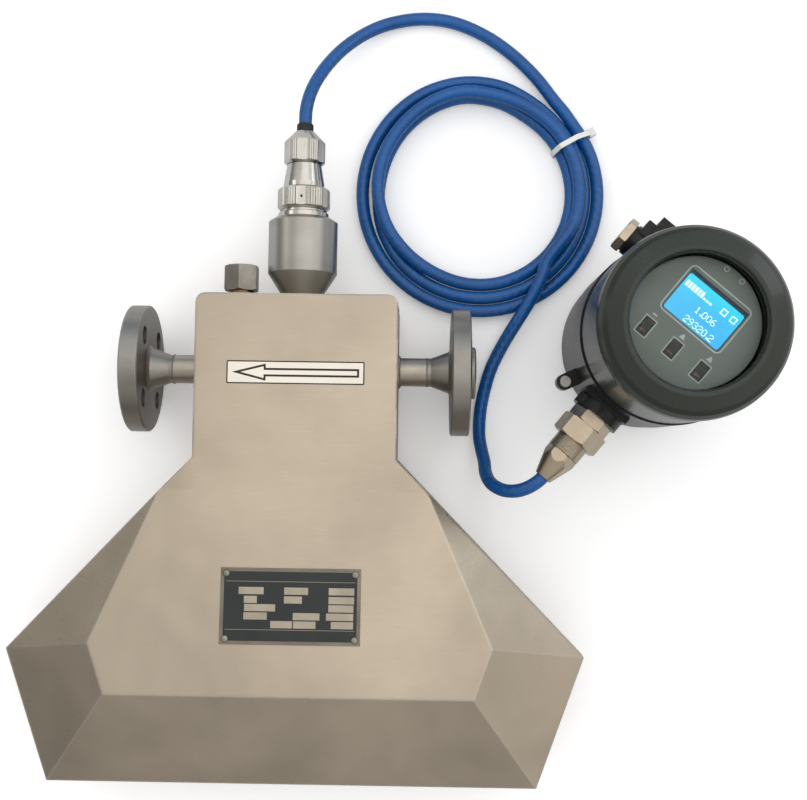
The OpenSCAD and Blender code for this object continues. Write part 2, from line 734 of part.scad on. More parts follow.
// The nut that squeezes the grommet on the cable, with a faceted taper
module clamp_nut() {
    r = clamp_d / 2;
    straight = clamp_len - clamp_taper;
    color("#d2cdc0") at_sensor() translate([0, clamp_start, 0]) along_y() difference() {
        intersection() {
            rotate(90) linear_extrude(height = clamp_len) polygon(knurled_outline(r, 26, 5, 0.4));
            turned([[0, 0], [r - 2, 0], [r + 0.05, 2.05], [r + 0.05, straight], [grommet_r + 1.2, clamp_len],
                [0, clamp_len]]);
        }
        translate([0, 0, -over]) cylinder(h = straight - 1 + over, r = spigot_r + thread_gap);
        cylinder(h = clamp_len + over, r = grommet_r + thread_gap);
    }
}

// The rubber sleeve between the clamp nut and the cable
module cable_grommet() {
    color("#1e1c1d") at_sensor() along_y() turned([[cable_d / 2 + weld_gap, spigot_top], [spigot_r - 1, spigot_top],
        [spigot_r - 1, spigot_top + 1.5], [grommet_r, spigot_top + 1.5], [grommet_r, cable_start - 0.8],
        [grommet_r - 0.8, cable_start], [cable_d / 2 + weld_gap, cable_start]]);
}

// ---- label and nameplate ----

label_t = 0.4;
label_drop = 4; // from the flow axis to the label's middle

module arrow_label() {
    color("#ddd3bd") at_sensor() translate([-label_w / 2, -label_h / 2 - label_drop, neck_t / 2])
        cube([label_w, label_h, label_t]);
}

rivet_d = 2.6;
rivet_inset = 4;

module at_nameplate() translate([0, -plate_drop, panel_z(-plate_drop)]) rotate([-panel_slope, 0, 0]) children();
module rivet_places() for (sx = [-1, 1], sy = [-1, 1])
    translate([sx * (plate_w / 2 - rivet_inset), sy * (plate_h / 2 - rivet_inset), 0]) children();

module nameplate() {
    color("#2a2826") at_sensor() at_nameplate() difference() {
        translate([-plate_w / 2, -plate_h / 2, 0]) cube([plate_w, plate_h, plate_t]);
        rivet_places() translate([0, 0, -over]) cylinder(h = plate_t + 2 * over, d = rivet_d + 2 * weld_gap);
    }
}

module nameplate_rivets() {
    head_h = 0.9;
    color("#b8b6b0") at_sensor() at_nameplate() rivet_places() turned([[0, -sheet - 1], [rivet_d / 2, -sheet - 1],
        [rivet_d / 2, plate_t], [rivet_d, plate_t], [rivet_d * 0.8, plate_t + head_h * 0.7], [0, plate_t + head_h]]);
}

// ---- cable ----
// Route points are [x from the sensor's middle, y, height above the surface].

tie_t = 1.2;
coil_lift = tie_t + 0.2;
coil_x = 135.5;
coil_y = 145;
turn_pitch = 10.3;
coil_out = coil_r + cable_d / 2;
coil_in = coil_r - 2 * turn_pitch - cable_d / 2;
tie_angle = 30;
low = cable_d / 2; // height of a cable that lies on the surface
axis_h = -floor_z;

lead_route = [[0, cable_start, axis_h], [0.5, 200, axis_h - 0.5], [3, 213, axis_h - 4], [8, 227, 37], [16, 242, 29],
    [28, 258, 20], [45, 273, 11], [64, 282.5, low + 1], [88, 286.5, low], [112, 284, low], [136, 274.5, low],
    [158, 260, low], [178, 241, low + 0.7], [193.3, 221.5, low + coil_lift], [205.6, 206.1, low + coil_lift]];

tail_route = [[189.5, 93, 16.2], [184.3, 78.8, 17.1], [177, 63, 17.2], [168, 47.5, 14.2], [159.2, 33, 9.3],
    [151.3, 18.5, low + 1], [145.2, 4.5, low], [141, -10.5, low], [138.3, -24.5, low], [137.2, -36.5, low + 1.5], [137.1, -47.2, 10.5],
    [138.4, -56.6, 16.3], [140.4, -66.2, 24.5], [141.1, -75.2, 33.6], [144.5, -82.4, 44.3], [151.7, -86.8, 54.3],
    [159.6, -87.7, 61.3], [167.1, -86, 66], [174, -82.4, 68.8]];

gland_end = [transmitter_x - mid_x + gland_tip * sin(display_turn), transmitter_y - gland_tip * cos(display_turn),
    entry_h];

// Catmull-Rom curve through the route points
function clamped(list, i) = list[max(0, min(len(list) - 1, i))];
function on_curve(list, i, t) =
    let(a = clamped(list, i - 1), b = clamped(list, i), c = clamped(list, i + 1), d = clamped(list, i + 2))
    0.5 * (2 * b + (c - a) * t + (2 * a - 5 * b + 4 * c - d) * t * t + (3 * b - a - 3 * c + d) * t * t * t);
function curve(list, steps) =
    concat([for (i = [0:len(list) - 2], k = [0:steps - 1]) on_curve(list, i, k / steps)], [list[len(list) - 1]]);

cable_sides = 10;

module on_surface() translate([mid_x, 0, floor_z]) children();

module cable_lead() {
    color("#1f5fa6") on_surface() swept(curve(lead_route, 2), cable_d / 2, cable_sides, [0, 1, 0], [12, -15, 0]);
}

upper_in = 72; // the turn that rides on the others, where it does
upper_out = 86;
upper_from = -43;
upper_to = 161;
upper_top = cable_d + 9;

// The wound stretch: turns side by side on the surface, and part of one on top of them
module cable_coil() {
    edge = 2;
    color("#1b5597") on_surface() translate([coil_x, coil_y, coil_lift]) {
        turned([[coil_in + edge, 0], [coil_out - edge, 0], [coil_out, edge], [coil_out, cable_d - edge],
            [coil_out - edge, cable_d], [coil_in + edge, cable_d], [coil_in, cable_d - edge], [coil_in, edge]]);
        rotate(upper_from) rotate_extrude(angle = upper_to - upper_from) polygon([[upper_in, cable_d - 1],
            [upper_out, cable_d - 1], [upper_out, upper_top - edge], [upper_out - edge, upper_top],
            [upper_in + edge, upper_top], [upper_in, upper_top - edge]]);
    }
}

module cable_tail() {
    color("#1f5fa6") on_surface() swept(concat(curve(tail_route, 2), [gland_end]), cable_d / 2, cable_sides,
        [-6, -14, 5], [-sin(display_turn), cos(display_turn), 0]);
}

// A nylon strap round the coil's turns, with its locking head outside
module cable_tie() {
    width = 4;
    gap = 0.2;
    near = coil_in - gap;
    far = coil_out + gap;
    knee = coil_lift + cable_d - 1; // where the strap leans in over the upper turn
    top = coil_lift + upper_top + gap;
    color("#e8e8e2") on_surface() translate([coil_x, coil_y, 0]) rotate(tie_angle) {
        rotate([90, 0, 0]) linear_extrude(height = width, center = true) difference() {
            polygon([[near - tie_t, 0], [far + tie_t, 0], [far + tie_t, knee + 0.6], [upper_out + 0.6, top + tie_t],
                [upper_in - 0.8, top + tie_t], [near - tie_t, knee + 0.3]]);
            polygon([[near, tie_t], [far, tie_t], [far, knee], [upper_out, top], [upper_in, top], [near, knee]]);
        }
        translate([far + tie_t / 2, -3.2, 3]) cube([5.5, 6.4, 6]);
    }
}

// ---- transmitter ----

seal_t = 1.2;
housing_low = rear_cover_h;
housing_top = rear_cover_h + housing_h;
cover_top = housing_top + front_cover_h;
neck_len = 22;
partition_low = entry_h + 18;
partition_t = 6;
compartment_r = compartment_d / 2;
front_r = front_cover_d / 2;
glass_r = window_d / 2 + 3.3;
glass_top = cover_top - 5;
glass_low = glass_top - glass_t;
retainer_h = 5;
retainer_bore_r = window_d / 2 + 0.9;
skirt_bore_r = neck_d / 2 + thread_gap;
entry_thread_d = 20;
spare_thread_d = 18;
spare_boss_d = 24.5;
spare_h = entry_h + 6;
board_r = 41;
main_board_z = partition_low + partition_t + 22;
post_r = 4;
post_circle = 34;
earth_r = 74;
earth_angle = 244.5;
earth_h = 60;
earth_thread_d = 4.9;

module post_places() for (a = [30, 150, 270]) rotate(a) translate([post_circle, 0, 0]) children();

// The cast housing: two compartments back to back, two cable entries, a mounting pad and an earth lug
module housing() {
    r = housing_d / 2;
    nr = neck_d / 2;
    color("#1d2120") at_transmitter() difference() {
        union() {
            turned([[0, housing_low - neck_len], [nr, housing_low - neck_len], [nr, housing_low], [r - 1, housing_low],
                [r, housing_low + 1], [r, housing_top - 3], [r - 3, housing_top], [nr, housing_top],
                [nr, housing_top + neck_len], [0, housing_top + neck_len]]);
            translate([0, 0, entry_h]) rotate([90, 0, 0]) cylinder(h = entry_reach, r = 19);
            translate([-19, -entry_reach + 8, entry_h - 19]) cube([38, 30, 38]);
            translate([0, spare_offset, spare_h]) rotate([0, -90, 0]) cylinder(h = spare_reach, d = spare_boss_d);
            translate([-spare_reach + 2, spare_offset + 5, spare_h - 8]) cube([24, 12, 20]);
            translate([-spare_reach + 8.5, spare_offset + 5, spare_h - 12]) cube([30, 19, 28]);
            rotate(earth_angle) translate([0, 0, earth_h - 12]) {
                translate([r - 8, -6, 0]) cube([earth_r - r + 8, 12, 12]);
                translate([earth_r, 0, 0]) cylinder(h = 12, r = 6);
            }
        }
        translate([0, 0, housing_low - neck_len - over])
            cylinder(h = partition_low - housing_low + neck_len + over, r = compartment_r);
        difference() {
            translate([0, 0, partition_low + partition_t])
                cylinder(h = housing_top + neck_len - partition_low - partition_t + over, r = compartment_r);
            post_places() cylinder(h = main_board_z, r = post_r);
        }
        translate([0, 0, entry_h]) rotate([90, 0, 0]) cylinder(h = entry_reach + over, d = entry_thread_d);
        translate([0, spare_offset, spare_h]) rotate([0, -90, 0]) cylinder(h = spare_reach + over, d = spare_thread_d);
        translate([0, 0, partition_low - over]) cylinder(h = partition_t + 2 * over, d = feedthrough_d + 2 * seat_gap);
        rotate(earth_angle) translate([earth_r, 0, earth_h - 10])
            cylinder(h = 10 + over, d = earth_thread_d + 2 * weld_gap);
    }
}

// The screwed ring that carries the window
module front_cover() {
    low = housing_top + seal_t;
    r = front_r;
    color("#363b35") at_transmitter() turned([[skirt_bore_r, low], [r - 1, low], [r, low + 1], [r, cover_top - 14],
        [r - 0.8, cover_top - 9.5], [r - 3, cover_top - 6], [r - 6, cover_top - 3.5], [window_d / 2 + 4, cover_top],
        [window_d / 2 + 1.4, cover_top - 0.4], [window_d / 2, cover_top - 2], [window_d / 2, glass_top],
        [glass_r + seat_gap, glass_top], [glass_r + seat_gap, glass_low - retainer_h - 1],
        [glass_r + 2, glass_low - retainer_h - 3],
        [skirt_bore_r, housing_top + neck_len + 4]]);
}

module front_cover_seal() {
    color("#101010") at_transmitter() turned([[skirt_bore_r, housing_top], [front_r - 2.5, housing_top],
        [front_r - 2.5, housing_top + seal_t], [skirt_bore_r, housing_top + seal_t]]);
}

module window_glass() {
    color("#dfe8e4", 0.35) at_transmitter() translate([0, 0, glass_low]) cylinder(h = glass_t, r = glass_r);
}

// The threaded ring that holds the glass up against the cover's lip
module window_retainer() {
    color("#2a2d2a") at_transmitter() difference() {
        turned([[retainer_bore_r, glass_low - retainer_h], [glass_r, glass_low - retainer_h], [glass_r, glass_low],
            [retainer_bore_r, glass_low]]);
        for (a = [0, 180]) rotate(a) translate([retainer_bore_r - over, -2, glass_low - retainer_h - over])
            cube([glass_r - retainer_bore_r + 2 * over, 4, 2 + over]);
    }
}

// The screwed cup that closes the terminal compartment
module rear_cover() {
    r = rear_cover_d / 2;
    top = housing_low - seal_t;
    wall = 6;
    color("#1f2422") at_transmitter() turned([[0, 0], [r - 6, 0], [r - 1.8, 1.8], [r, 6], [r, top - 1], [r - 1, top],
        [skirt_bore_r, top], [skirt_bore_r, housing_low - neck_len - 2], [compartment_r, wall + 4],
        [compartment_r - 4, wall], [0, wall]]);
}

module rear_cover_seal() {
    outer_r = rear_cover_d / 2 - 1.2;
    color("#101010") at_transmitter() turned([[skirt_bore_r, housing_low - seal_t], [outer_r, housing_low - seal_t],
        [outer_r, housing_low], [skirt_bore_r, housing_low]]);
}

// ---- display unit ----

face_t = 2;
face_top = cover_top - faceplate_depth;
face_r = window_d / 2 - 0.4;
face_wall = 2;
face_skirt = 26;
floor_t = 3; // the carrier's floor, a ring at the skirt's lower end
board_z = face_top - face_t - 16;
small_hole_up = 40;
small_hole_x = 6.3;

module key_places() for (i = [-1:1]) translate([i * key_pitch, -key_down, 0]) children();

// The moulded carrier: a face with windows, a skirt, and three legs that stand on the main board
module faceplate() {
    inner_r = face_r - face_wall;
    skirt_low = face_top - face_skirt;
    color("#6b736f") at_transmitter() {
        difference() {
            turned([[0, face_top - face_t], [inner_r, face_top - face_t], [inner_r, skirt_low], [face_r, skirt_low],
                [face_r, face_top - 0.5], [face_r - 0.5, face_top], [0, face_top]]);
            translate([-lcd_w / 2, lcd_up - lcd_h / 2, face_top - face_t - over])
                cube([lcd_w, lcd_h, face_t + 2 * over]);
            translate([0, 0, face_top - face_t - over]) key_places()
                translate([-key_w / 2, -key_h / 2, 0]) cube([key_w, key_h, face_t + 2 * over]);
            for (sx = [-1, 1]) translate([sx * small_hole_x, small_hole_up, face_top - 1])
                cylinder(h = 1 + over, d = 1.8, $fn = 24);
        }
        difference() {
            union() {
                post_places() translate([0, 0, main_board_z + board_t])
                    cylinder(h = skirt_low - main_board_z - board_t + floor_t, r = post_r);
                translate([0, 0, skirt_low]) cylinder(h = floor_t, r = inner_r + 0.5);
            }
            translate([0, 0, skirt_low - over]) cylinder(h = floor_t + 2 * over, r = post_circle - post_r - 1);
        }
    }
}

lcd_gap = 0.3;
lcd_border = 3;

// The display: a frame under the faceplate and a raised glass in its window
module display_module() {
    low = board_z + board_t;
    color("#39c6f4") at_transmitter() translate([0, lcd_up, 0]) {
        translate([-lcd_w / 2 - lcd_border, -lcd_h / 2 - lcd_border, low])
            cube([lcd_w + 2 * lcd_border, lcd_h + 2 * lcd_border, face_top - face_t - lcd_gap - low]);
        translate([-lcd_w / 2 + lcd_gap, -lcd_h / 2 + lcd_gap, low])
            cube([lcd_w - 2 * lcd_gap, lcd_h - 2 * lcd_gap, face_top - 0.8 - low]);
    }
}

// Dark lenses over the three optical keys
module key_windows() {
    color("#23292a") at_transmitter() translate([0, 0, face_top - face_t]) key_places()
        translate([lcd_gap - key_w / 2, lcd_gap - key_h / 2, 0])
        cube([key_w - 2 * lcd_gap, key_h - 2 * lcd_gap, face_t - 0.4]);
}

// The board that carries the display and the optical sensors, on short pillars over the carrier's floor
module display_board() {
    carrier_floor = face_top - face_skirt + floor_t;
    color("#1d6b45") at_transmitter() {
        translate([0, 0, board_z]) cylinder(h = board_t, r = face_r - face_wall - 0.5);
        post_places() translate([0, 0, carrier_floor]) cylinder(h = board_z + 1 - carrier_floor, r = post_r - 1);
        translate([0, 0, board_z + 1]) key_places() cylinder(h = 10, r = 2.5);
    }
}

// The main board on the housing's posts, with its converter and capacitors
module main_board() {
    color("#1a5c3a") at_transmitter() translate([0, 0, main_board_z]) {
        cylinder(h = board_t, r = board_r);
        translate([-16, -20, board_t]) cube([18, 22, 9]);
        translate([12, 6, board_t]) cylinder(h = 12, r = 5);
        translate([12, -8, board_t]) cylinder(h = 12, r = 5);
    }
}

feedthrough_d = 22;

// The potted bushing that takes the wires through the partition
module feedthrough() {
    color("#54402c") at_transmitter() translate([0, 0, partition_low - 3]) {
        cylinder(h = partition_t + 6, d = feedthrough_d);
        for (a = [0:60:300]) rotate(a) translate([6, 0, -3]) cylinder(h = partition_t + 12, r = 0.8, $fn = 16);
    }
}

terminal_y = 20;
terminal_h = 14;
terminal_len = 54;
terminal_depth = 12;
terminal_count = 6;

// The terminal strip under the partition, its screws facing the rear cover
module terminal_block() {
    pitch = terminal_len / terminal_count;
    color("#3f8f5a") at_transmitter() translate([-terminal_len / 2, terminal_y, partition_low - terminal_h]) {
        difference() {
            cube([terminal_len, terminal_depth, terminal_h]);
            for (i = [0:terminal_count - 1]) translate([(i + 0.5) * pitch, -over, 4]) rotate([-90, 0, 0])
                cylinder(h = 6 + over, r = 2.2, $fn = 24);
        }
        for (i = [0:terminal_count - 1]) translate([(i + 0.5) * pitch, terminal_depth / 2 + 2, -1])
            cylinder(h = 2, r = 2.4, $fn = 24);
    }
}

// The cable's end inside the gland, and its cores fanning out to the terminals
module cable_cores() {
    jacket_end = compartment_r - 12;
    pitch = terminal_len / terminal_count;
    color("#1f5fa6") at_transmitter() {
        translate([0, -jacket_end, entry_h]) rotate([90, 0, 0])
            cylinder(h = gland_tip - jacket_end, d = cable_d - 2 * weld_gap);
        for (i = [1:terminal_count - 2]) {
            x = (i + 0.5) * pitch - terminal_len / 2;
            wire([[x / 8, -jacket_end, entry_h], [x, terminal_y - 14, partition_low - terminal_h + 4],
                [x, terminal_y + 3, partition_low - terminal_h + 4]], 0.9);
        }
    }
}

// ---- entries ----

plug_hex_af = 23.4;
plug_hex_t = 6.3;
plug_seal_t = 1.5;

module at_spare_entry() translate([-spare_reach, spare_offset, spare_h]) rotate([0, -90, 0]) children();

// A hexagon stopping plug for the entry that is not used
module blind_plug() {
    stem_len = 13;
    color("#b9a583") at_transmitter() at_spare_entry() {
        translate([0, 0, plug_seal_t]) rotate(30) hex_bar(plug_hex_af, plug_hex_t, 0.3, 0.9);
        translate([0, 0, -stem_len]) cylinder(h = stem_len + plug_seal_t + 1, d = spare_thread_d - 2 * thread_gap);
    }
}

module blind_plug_seal() {
    inner_r = spare_thread_d / 2;
    outer_r = plug_hex_af / 2 - 0.7;
    color("#161616") at_transmitter() at_spare_entry()
        turned([[inner_r, 0], [outer_r, 0], [outer_r, plug_seal_t], [inner_r, plug_seal_t]]);
}

module at_entry(out) translate([0, 0, entry_h]) rotate([90, 0, 0]) translate([0, 0, out]) children();

// The reducer that screws into the housing
module gland_adapter() {
    stem_len = 14;
    color("#a89a84") at_transmitter() at_entry(entry_reach) difference() {
        union() {
            hex_bar(adapter_af, adapter_hex_t, 0.4, 0.8);
            translate([0, 0, -stem_len]) cylinder(h = stem_len + 1, d = entry_thread_d - 2 * seat_gap);
        }
        translate([0, 0, -stem_len - over])
            cylinder(h = stem_len + adapter_hex_t + 2 * over, d = gland_stem_d + 2 * seat_gap);
    }
}

gland_stem_d = 16;

// The gland's body: a stem in the adapter, a large hexagon, and a barrel threaded at its end
module gland_body() {
    thread_d = gland_barrel_d - 5;
    color("#b0a28b") at_transmitter() at_entry(entry_reach + adapter_hex_t) difference() {
        union() {
            rotate(15) hex_bar(gland_af, gland_hex_t, 0.6, 1.2);
            translate([0, 0, -8]) cylinder(h = 9, d = gland_stem_d);
            translate([0, 0, gland_hex_t - 1]) cylinder(h = gland_barrel_len + 1, d = gland_barrel_d);
            cylinder(h = gland_hex_t + gland_barrel_len + cap_over, d = thread_d);
        }
        translate([0, 0, -8 - over]) cylinder(h = gland_hex_t + gland_barrel_len + cap_over + 10, d = gland_bore_d);
        translate([0, 0, gland_hex_t]) cylinder(h = gland_barrel_len + cap_over + over, d = thread_d - 4);
    }
}

// The rubber ring that the cap squeezes round the cable
module gland_seal() {
    inner_r = cable_d / 2 + weld_gap;
    outer_r = gland_barrel_d / 2 - 4.7;
    length = gland_barrel_len + cap_over - 2;
    color("#171717") at_transmitter() at_entry(entry_reach + adapter_hex_t + gland_hex_t)
        turned([[inner_r, 0], [outer_r, 0], [outer_r, length], [inner_r, length]]);
}

// The tapering cap, with six flats cut on its cone
module gland_cap() {
    r = gland_barrel_d / 2;
    tip_r = cable_d / 2 + 1.6;
    thread_d = gland_barrel_d - 5;
    color("#b3a58e") at_transmitter() at_entry(gland_tip - gland_cap_len) difference() {
        intersection() {
            turned([[0, thread_gap], [r - 0.6, thread_gap], [r, 1], [r, 5], [tip_r, gland_cap_len], [0, gland_cap_len]]);
            rotate(15) cylinder(h = gland_cap_len, r = r * 1.04, $fn = 6);
        }
        cylinder(h = 2 * gland_cap_len, d = gland_bore_d, center = true);
        translate([0, 0, -over]) cylinder(h = cap_over + 1 + over, d = thread_d + 2 * thread_gap);
    }
}

// The socket-head screw in the earth lug
module earth_screw() {
    head_d = 8.8;
    head_h = 5;
    socket_af = 4;
    color("#c8c2b6") at_transmitter() rotate(earth_angle) translate([earth_r, 0, earth_h]) difference() {
        union() {
            turned([[0, 0], [head_d / 2, 0], [head_d / 2, head_h - 0.5], [head_d / 2 - 0.5, head_h], [0, head_h]]);
            translate([0, 0, -9]) cylinder(h = 9.5, d = earth_thread_d);
        }
        translate([0, 0, head_h - 2.5]) cylinder(h = 2.5 + over, r = socket_af / 2 / cos(30), $fn = 6);
    }
}

casing_front();
casing_rear();
inlet_flange();
outlet_flange();
inlet_spool();
outlet_spool();
inlet_manifold();
outlet_manifold();
support_beam();
front_flow_tube();
rear_flow_tube();
brace_plates();
drive_coil();
drive_magnet();
inlet_pickoff_coil();
inlet_pickoff_magnet();
outlet_pickoff_coil();
outlet_pickoff_magnet();
temperature_sensor();
sensor_harness();
vent_stub();
vent_seal();
vent_cap();
socket_housing();
receptacle();
receptacle_insert();
plug_shell();
plug_insert();
coupling_nut();
clamp_nut();
cable_grommet();
arrow_label();
nameplate();
nameplate_rivets();
cable_lead();
cable_coil();
cable_tail();
cable_tie();
cable_cores();
housing();
front_cover();
front_cover_seal();
window_glass();
window_retainer();
rear_cover();
rear_cover_seal();
faceplate();
display_module();
key_windows();
display_board();
main_board();
feedthrough();
terminal_block();
blind_plug();
blind_plug_seal();
gland_adapter();
gland_body();
gland_seal();
gland_cap();
earth_screw();
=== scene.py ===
import bpy, bmesh, math
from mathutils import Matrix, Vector


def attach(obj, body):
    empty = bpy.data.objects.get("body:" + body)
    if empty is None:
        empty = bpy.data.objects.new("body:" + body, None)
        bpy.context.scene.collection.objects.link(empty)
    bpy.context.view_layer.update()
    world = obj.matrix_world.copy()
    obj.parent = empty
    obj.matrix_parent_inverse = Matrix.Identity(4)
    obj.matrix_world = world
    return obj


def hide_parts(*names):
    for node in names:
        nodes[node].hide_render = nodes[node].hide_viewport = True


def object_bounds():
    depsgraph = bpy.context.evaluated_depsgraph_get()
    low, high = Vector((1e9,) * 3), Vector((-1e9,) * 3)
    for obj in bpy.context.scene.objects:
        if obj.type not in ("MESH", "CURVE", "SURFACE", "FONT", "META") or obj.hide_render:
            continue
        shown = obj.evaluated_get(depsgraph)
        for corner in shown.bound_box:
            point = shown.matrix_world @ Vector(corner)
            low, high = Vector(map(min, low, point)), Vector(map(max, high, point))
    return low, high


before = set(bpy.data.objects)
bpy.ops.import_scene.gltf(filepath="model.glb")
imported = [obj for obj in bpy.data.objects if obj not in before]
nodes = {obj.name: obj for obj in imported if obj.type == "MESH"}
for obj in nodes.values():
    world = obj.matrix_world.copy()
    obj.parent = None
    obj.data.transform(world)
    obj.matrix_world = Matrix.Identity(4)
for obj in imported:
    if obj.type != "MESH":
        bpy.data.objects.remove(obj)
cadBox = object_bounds()
print("frame loaded:", len(nodes), "nodes")

# camera, light and floor

viewSettings = {"place": (-0.0396, -0.0611, 0.8792), "turn": (0.0458, 0.0102, 0.0148), "lens": 52.17}
lampSettings = {
    "overhead": {"place": (0.25, 0.45, 1.9), "size": 2.2, "watts": 4.2, "tint": (1.0, 0.98, 0.95)},
    "coolSide": {"place": (1.5, 0.9, 0.9), "size": 0.7, "watts": 1.6, "tint": (0.92, 0.96, 1.0)},
    "warmSide": {"place": (-1.5, 0.6, 1.0), "size": 0.6, "watts": 1.0, "tint": (1.0, 0.95, 0.88)},
    "glint": {"place": (-0.25, 0.95, 0.95), "size": 0.13, "watts": 0.12, "tint": (1.0, 1.0, 1.0)},
}
surround = {
    "fill": 0.98, "swing": 0.5, "brightWay": (0.75, 0.66, 0), "floor": 0.7, "seenFloor": 0.98, "floorGlow": 0.17,
    "sky": ((0.0, 0.24), (0.3, 0.42), (0.5, 0.64), (0.7, 0.75), (0.9, 0.76), (1.0, 0.76)),     # height, strength
    "warm": (1.0, 0.965, 0.92, 1), "cool": (0.8, 0.92, 1.0, 1),
    "coolWay": (0.1, 0.75, -0.55), "coolSpan": (-0.1, 0.5),
}

scene = bpy.context.scene
scene.view_settings.view_transform = "Standard"


def newNodes(tree, *kinds):
    return [tree.nodes.new(kind) for kind in kinds]


def shaderNodes(tree, *kinds):
    return newNodes(tree, *("ShaderNode" + kind for kind in kinds))


def setSpan(node, side, low, high):
    node.inputs[side + " Min"].default_value, node.inputs[side + " Max"].default_value = low, high


def newMaterial(name):
    made = bpy.data.materials.new(name)
    made.use_nodes = True
    return made, made.node_tree, made.node_tree.nodes["Principled BSDF"]


def aimCamera():
    data = bpy.data.cameras.new("benchCamera")
    data.lens, data.sensor_width = viewSettings["lens"], 36
    data.clip_start, data.clip_end = 0.05, 20
    camera = bpy.data.objects.new("benchCamera", data)
    camera.location, camera.rotation_euler = viewSettings["place"], viewSettings["turn"]
    scene.collection.objects.link(camera)
    scene.camera = camera


def hangLamps():
    for name, lamp in lampSettings.items():
        data = bpy.data.lights.new(name, "AREA")
        data.shape, data.size = "DISK", lamp["size"]
        data.energy, data.color = lamp["watts"], lamp["tint"]
        light = bpy.data.objects.new(name, data)
        light.location = lamp["place"]
        light.rotation_euler = (Vector((-0.05, 0, 0)) - light.location).to_track_quat("-Z", "Y").to_euler()
        scene.collection.objects.link(light)


def lightRoom():
    world = bpy.data.worlds.new("paleRoom")
    world.use_nodes = True
    scene.world = world
    tree = world.node_tree
    tree.nodes.clear()
    link = tree.links.new
    out, back, path = shaderNodes(tree, "OutputWorld", "Background", "LightPath")
    coords, split, sky = shaderNodes(tree, "TexCoord", "SeparateXYZ", "FloatCurve")
    side, swing, level = shaderNodes(tree, "VectorMath", "Math", "Math")
    seen, reflected, backdrop = shaderNodes(tree, "Math", "Mix", "Mix")
    side.operation, swing.operation = "DOT_PRODUCT", "MULTIPLY_ADD"
    level.operation, seen.operation = "MULTIPLY", "MAXIMUM"
    side.inputs[1].default_value = surround["brightWay"]
    swing.inputs[1].default_value, swing.inputs[2].default_value = surround["swing"], 1.0
    curve = sky.mapping.curves[0]
    curve.points[0].location, curve.points[1].location = surround["sky"][0], surround["sky"][-1]
    for spot in surround["sky"][1:-1]:
        curve.points.new(*spot)
    sky.mapping.update()
    reflected.inputs["A"].default_value = surround["fill"]
    backdrop.inputs["B"].default_value = 1.0
    link(coords.outputs["Generated"], side.inputs[0])
    link(coords.outputs["Generated"], split.inputs[0])
    link(split.outputs["Z"], sky.inputs["Value"])
    link(side.outputs["Value"], swing.inputs[0])
    link(sky.outputs["Value"], level.inputs[0])
    link(swing.outputs[0], level.inputs[1])
    link(path.outputs["Is Glossy Ray"], reflected.inputs["Factor"])
    link(level.outputs[0], reflected.inputs["B"])
    link(path.outputs["Is Camera Ray"], seen.inputs[0])
    link(path.outputs["Is Transmission Ray"], seen.inputs[1])
    link(seen.outputs[0], backdrop.inputs["Factor"])
    link(reflected.outputs["Result"], backdrop.inputs["A"])
    link(backdrop.outputs["Result"], back.inputs["Strength"])
    # what metal mirrors is warmer overhead and cooler towards the far side
    way, amount, hue = shaderNodes(tree, "VectorMath", "MapRange", "Mix")
    plain = tree.nodes.new("ShaderNodeMix")
    way.operation, way.inputs[1].default_value = "DOT_PRODUCT", surround["coolWay"]
    setSpan(amount, "From", *surround["coolSpan"])
    hue.data_type = plain.data_type = "RGBA"
    hue.inputs[6].default_value, hue.inputs[7].default_value = surround["warm"], surround["cool"]
    plain.inputs[6].default_value = (1, 1, 1, 1)
    link(coords.outputs["Generated"], way.inputs[0])
    link(way.outputs["Value"], amount.inputs["Value"])
    link(amount.outputs[0], hue.inputs["Factor"])
    link(path.outputs["Is Glossy Ray"], plain.inputs["Factor"])
    link(hue.outputs[2], plain.inputs[7])
    link(plain.outputs[2], back.inputs["Color"])
    link(back.outputs[0], out.inputs[0])


def layFloor():
    mesh = bpy.data.meshes.new("benchTop")
    half, z = 5.0, cadBox[0].z - 0.0002
    mesh.from_pydata([(-half, -half, z), (half, -half, z), (half, half, z), (-half, half, z)], [], [(0, 1, 2, 3)])
    floor = bpy.data.objects.new("benchTop", mesh)
    scene.collection.objects.link(floor)
    pale, tree, shader = newMaterial("benchTop")
    link = tree.links.new
    shader.inputs["Roughness"].default_value = 0.9
    path, pick, glow = shaderNodes(tree, "LightPath", "Mix", "Math")
    pick.data_type, glow.operation = "RGBA", "MULTIPLY"
    pick.inputs[6].default_value = (*[surround["floor"]] * 3, 1)
    pick.inputs[7].default_value = (*[surround["seenFloor"]] * 3, 1)
    glow.inputs[1].default_value = surround["floorGlow"]
    link(path.outputs["Is Camera Ray"], pick.inputs["Factor"])
    link(pick.outputs[2], shader.inputs["Base Color"])
    link(path.outputs["Is Camera Ray"], glow.inputs[0])
    link(glow.outputs[0], shader.inputs["Emission Strength"])
    shader.inputs["Emission Color"].default_value = (1, 1, 1, 1)
    mesh.materials.append(pale)


aimCamera()
hangLamps()
lightRoom()
layFloor()
print("camera, light and floor are set")

# places

middle = -0.127        # x of the sensor's middle
floorZ = -0.0475
dialTurn = math.radians(-39.5)
dialPlace = Vector((0.1375, 0.025, 0))
neckFace = 38          # height of the neck's flat front above the pipe's axis, in mm
panelSlope = 9.5 / 145
plateTilt = math.atan(panelSlope)
plateUpFromBend = 82   # the nameplate's middle, from the bend between neck and panel
plateY = -171
labelY = -4


def onBench(x, y, height):
    return Vector((middle + x / 1000, y / 1000, floorZ + height / 1000))


def onDial(x, y, height):
    c, s = math.cos(dialTurn), math.sin(dialTurn)
    across, along = (x * c - y * s) / 1000, (x * s + y * c) / 1000
    return Vector((dialPlace.x + across, dialPlace.y + along, floorZ + height / 1000))


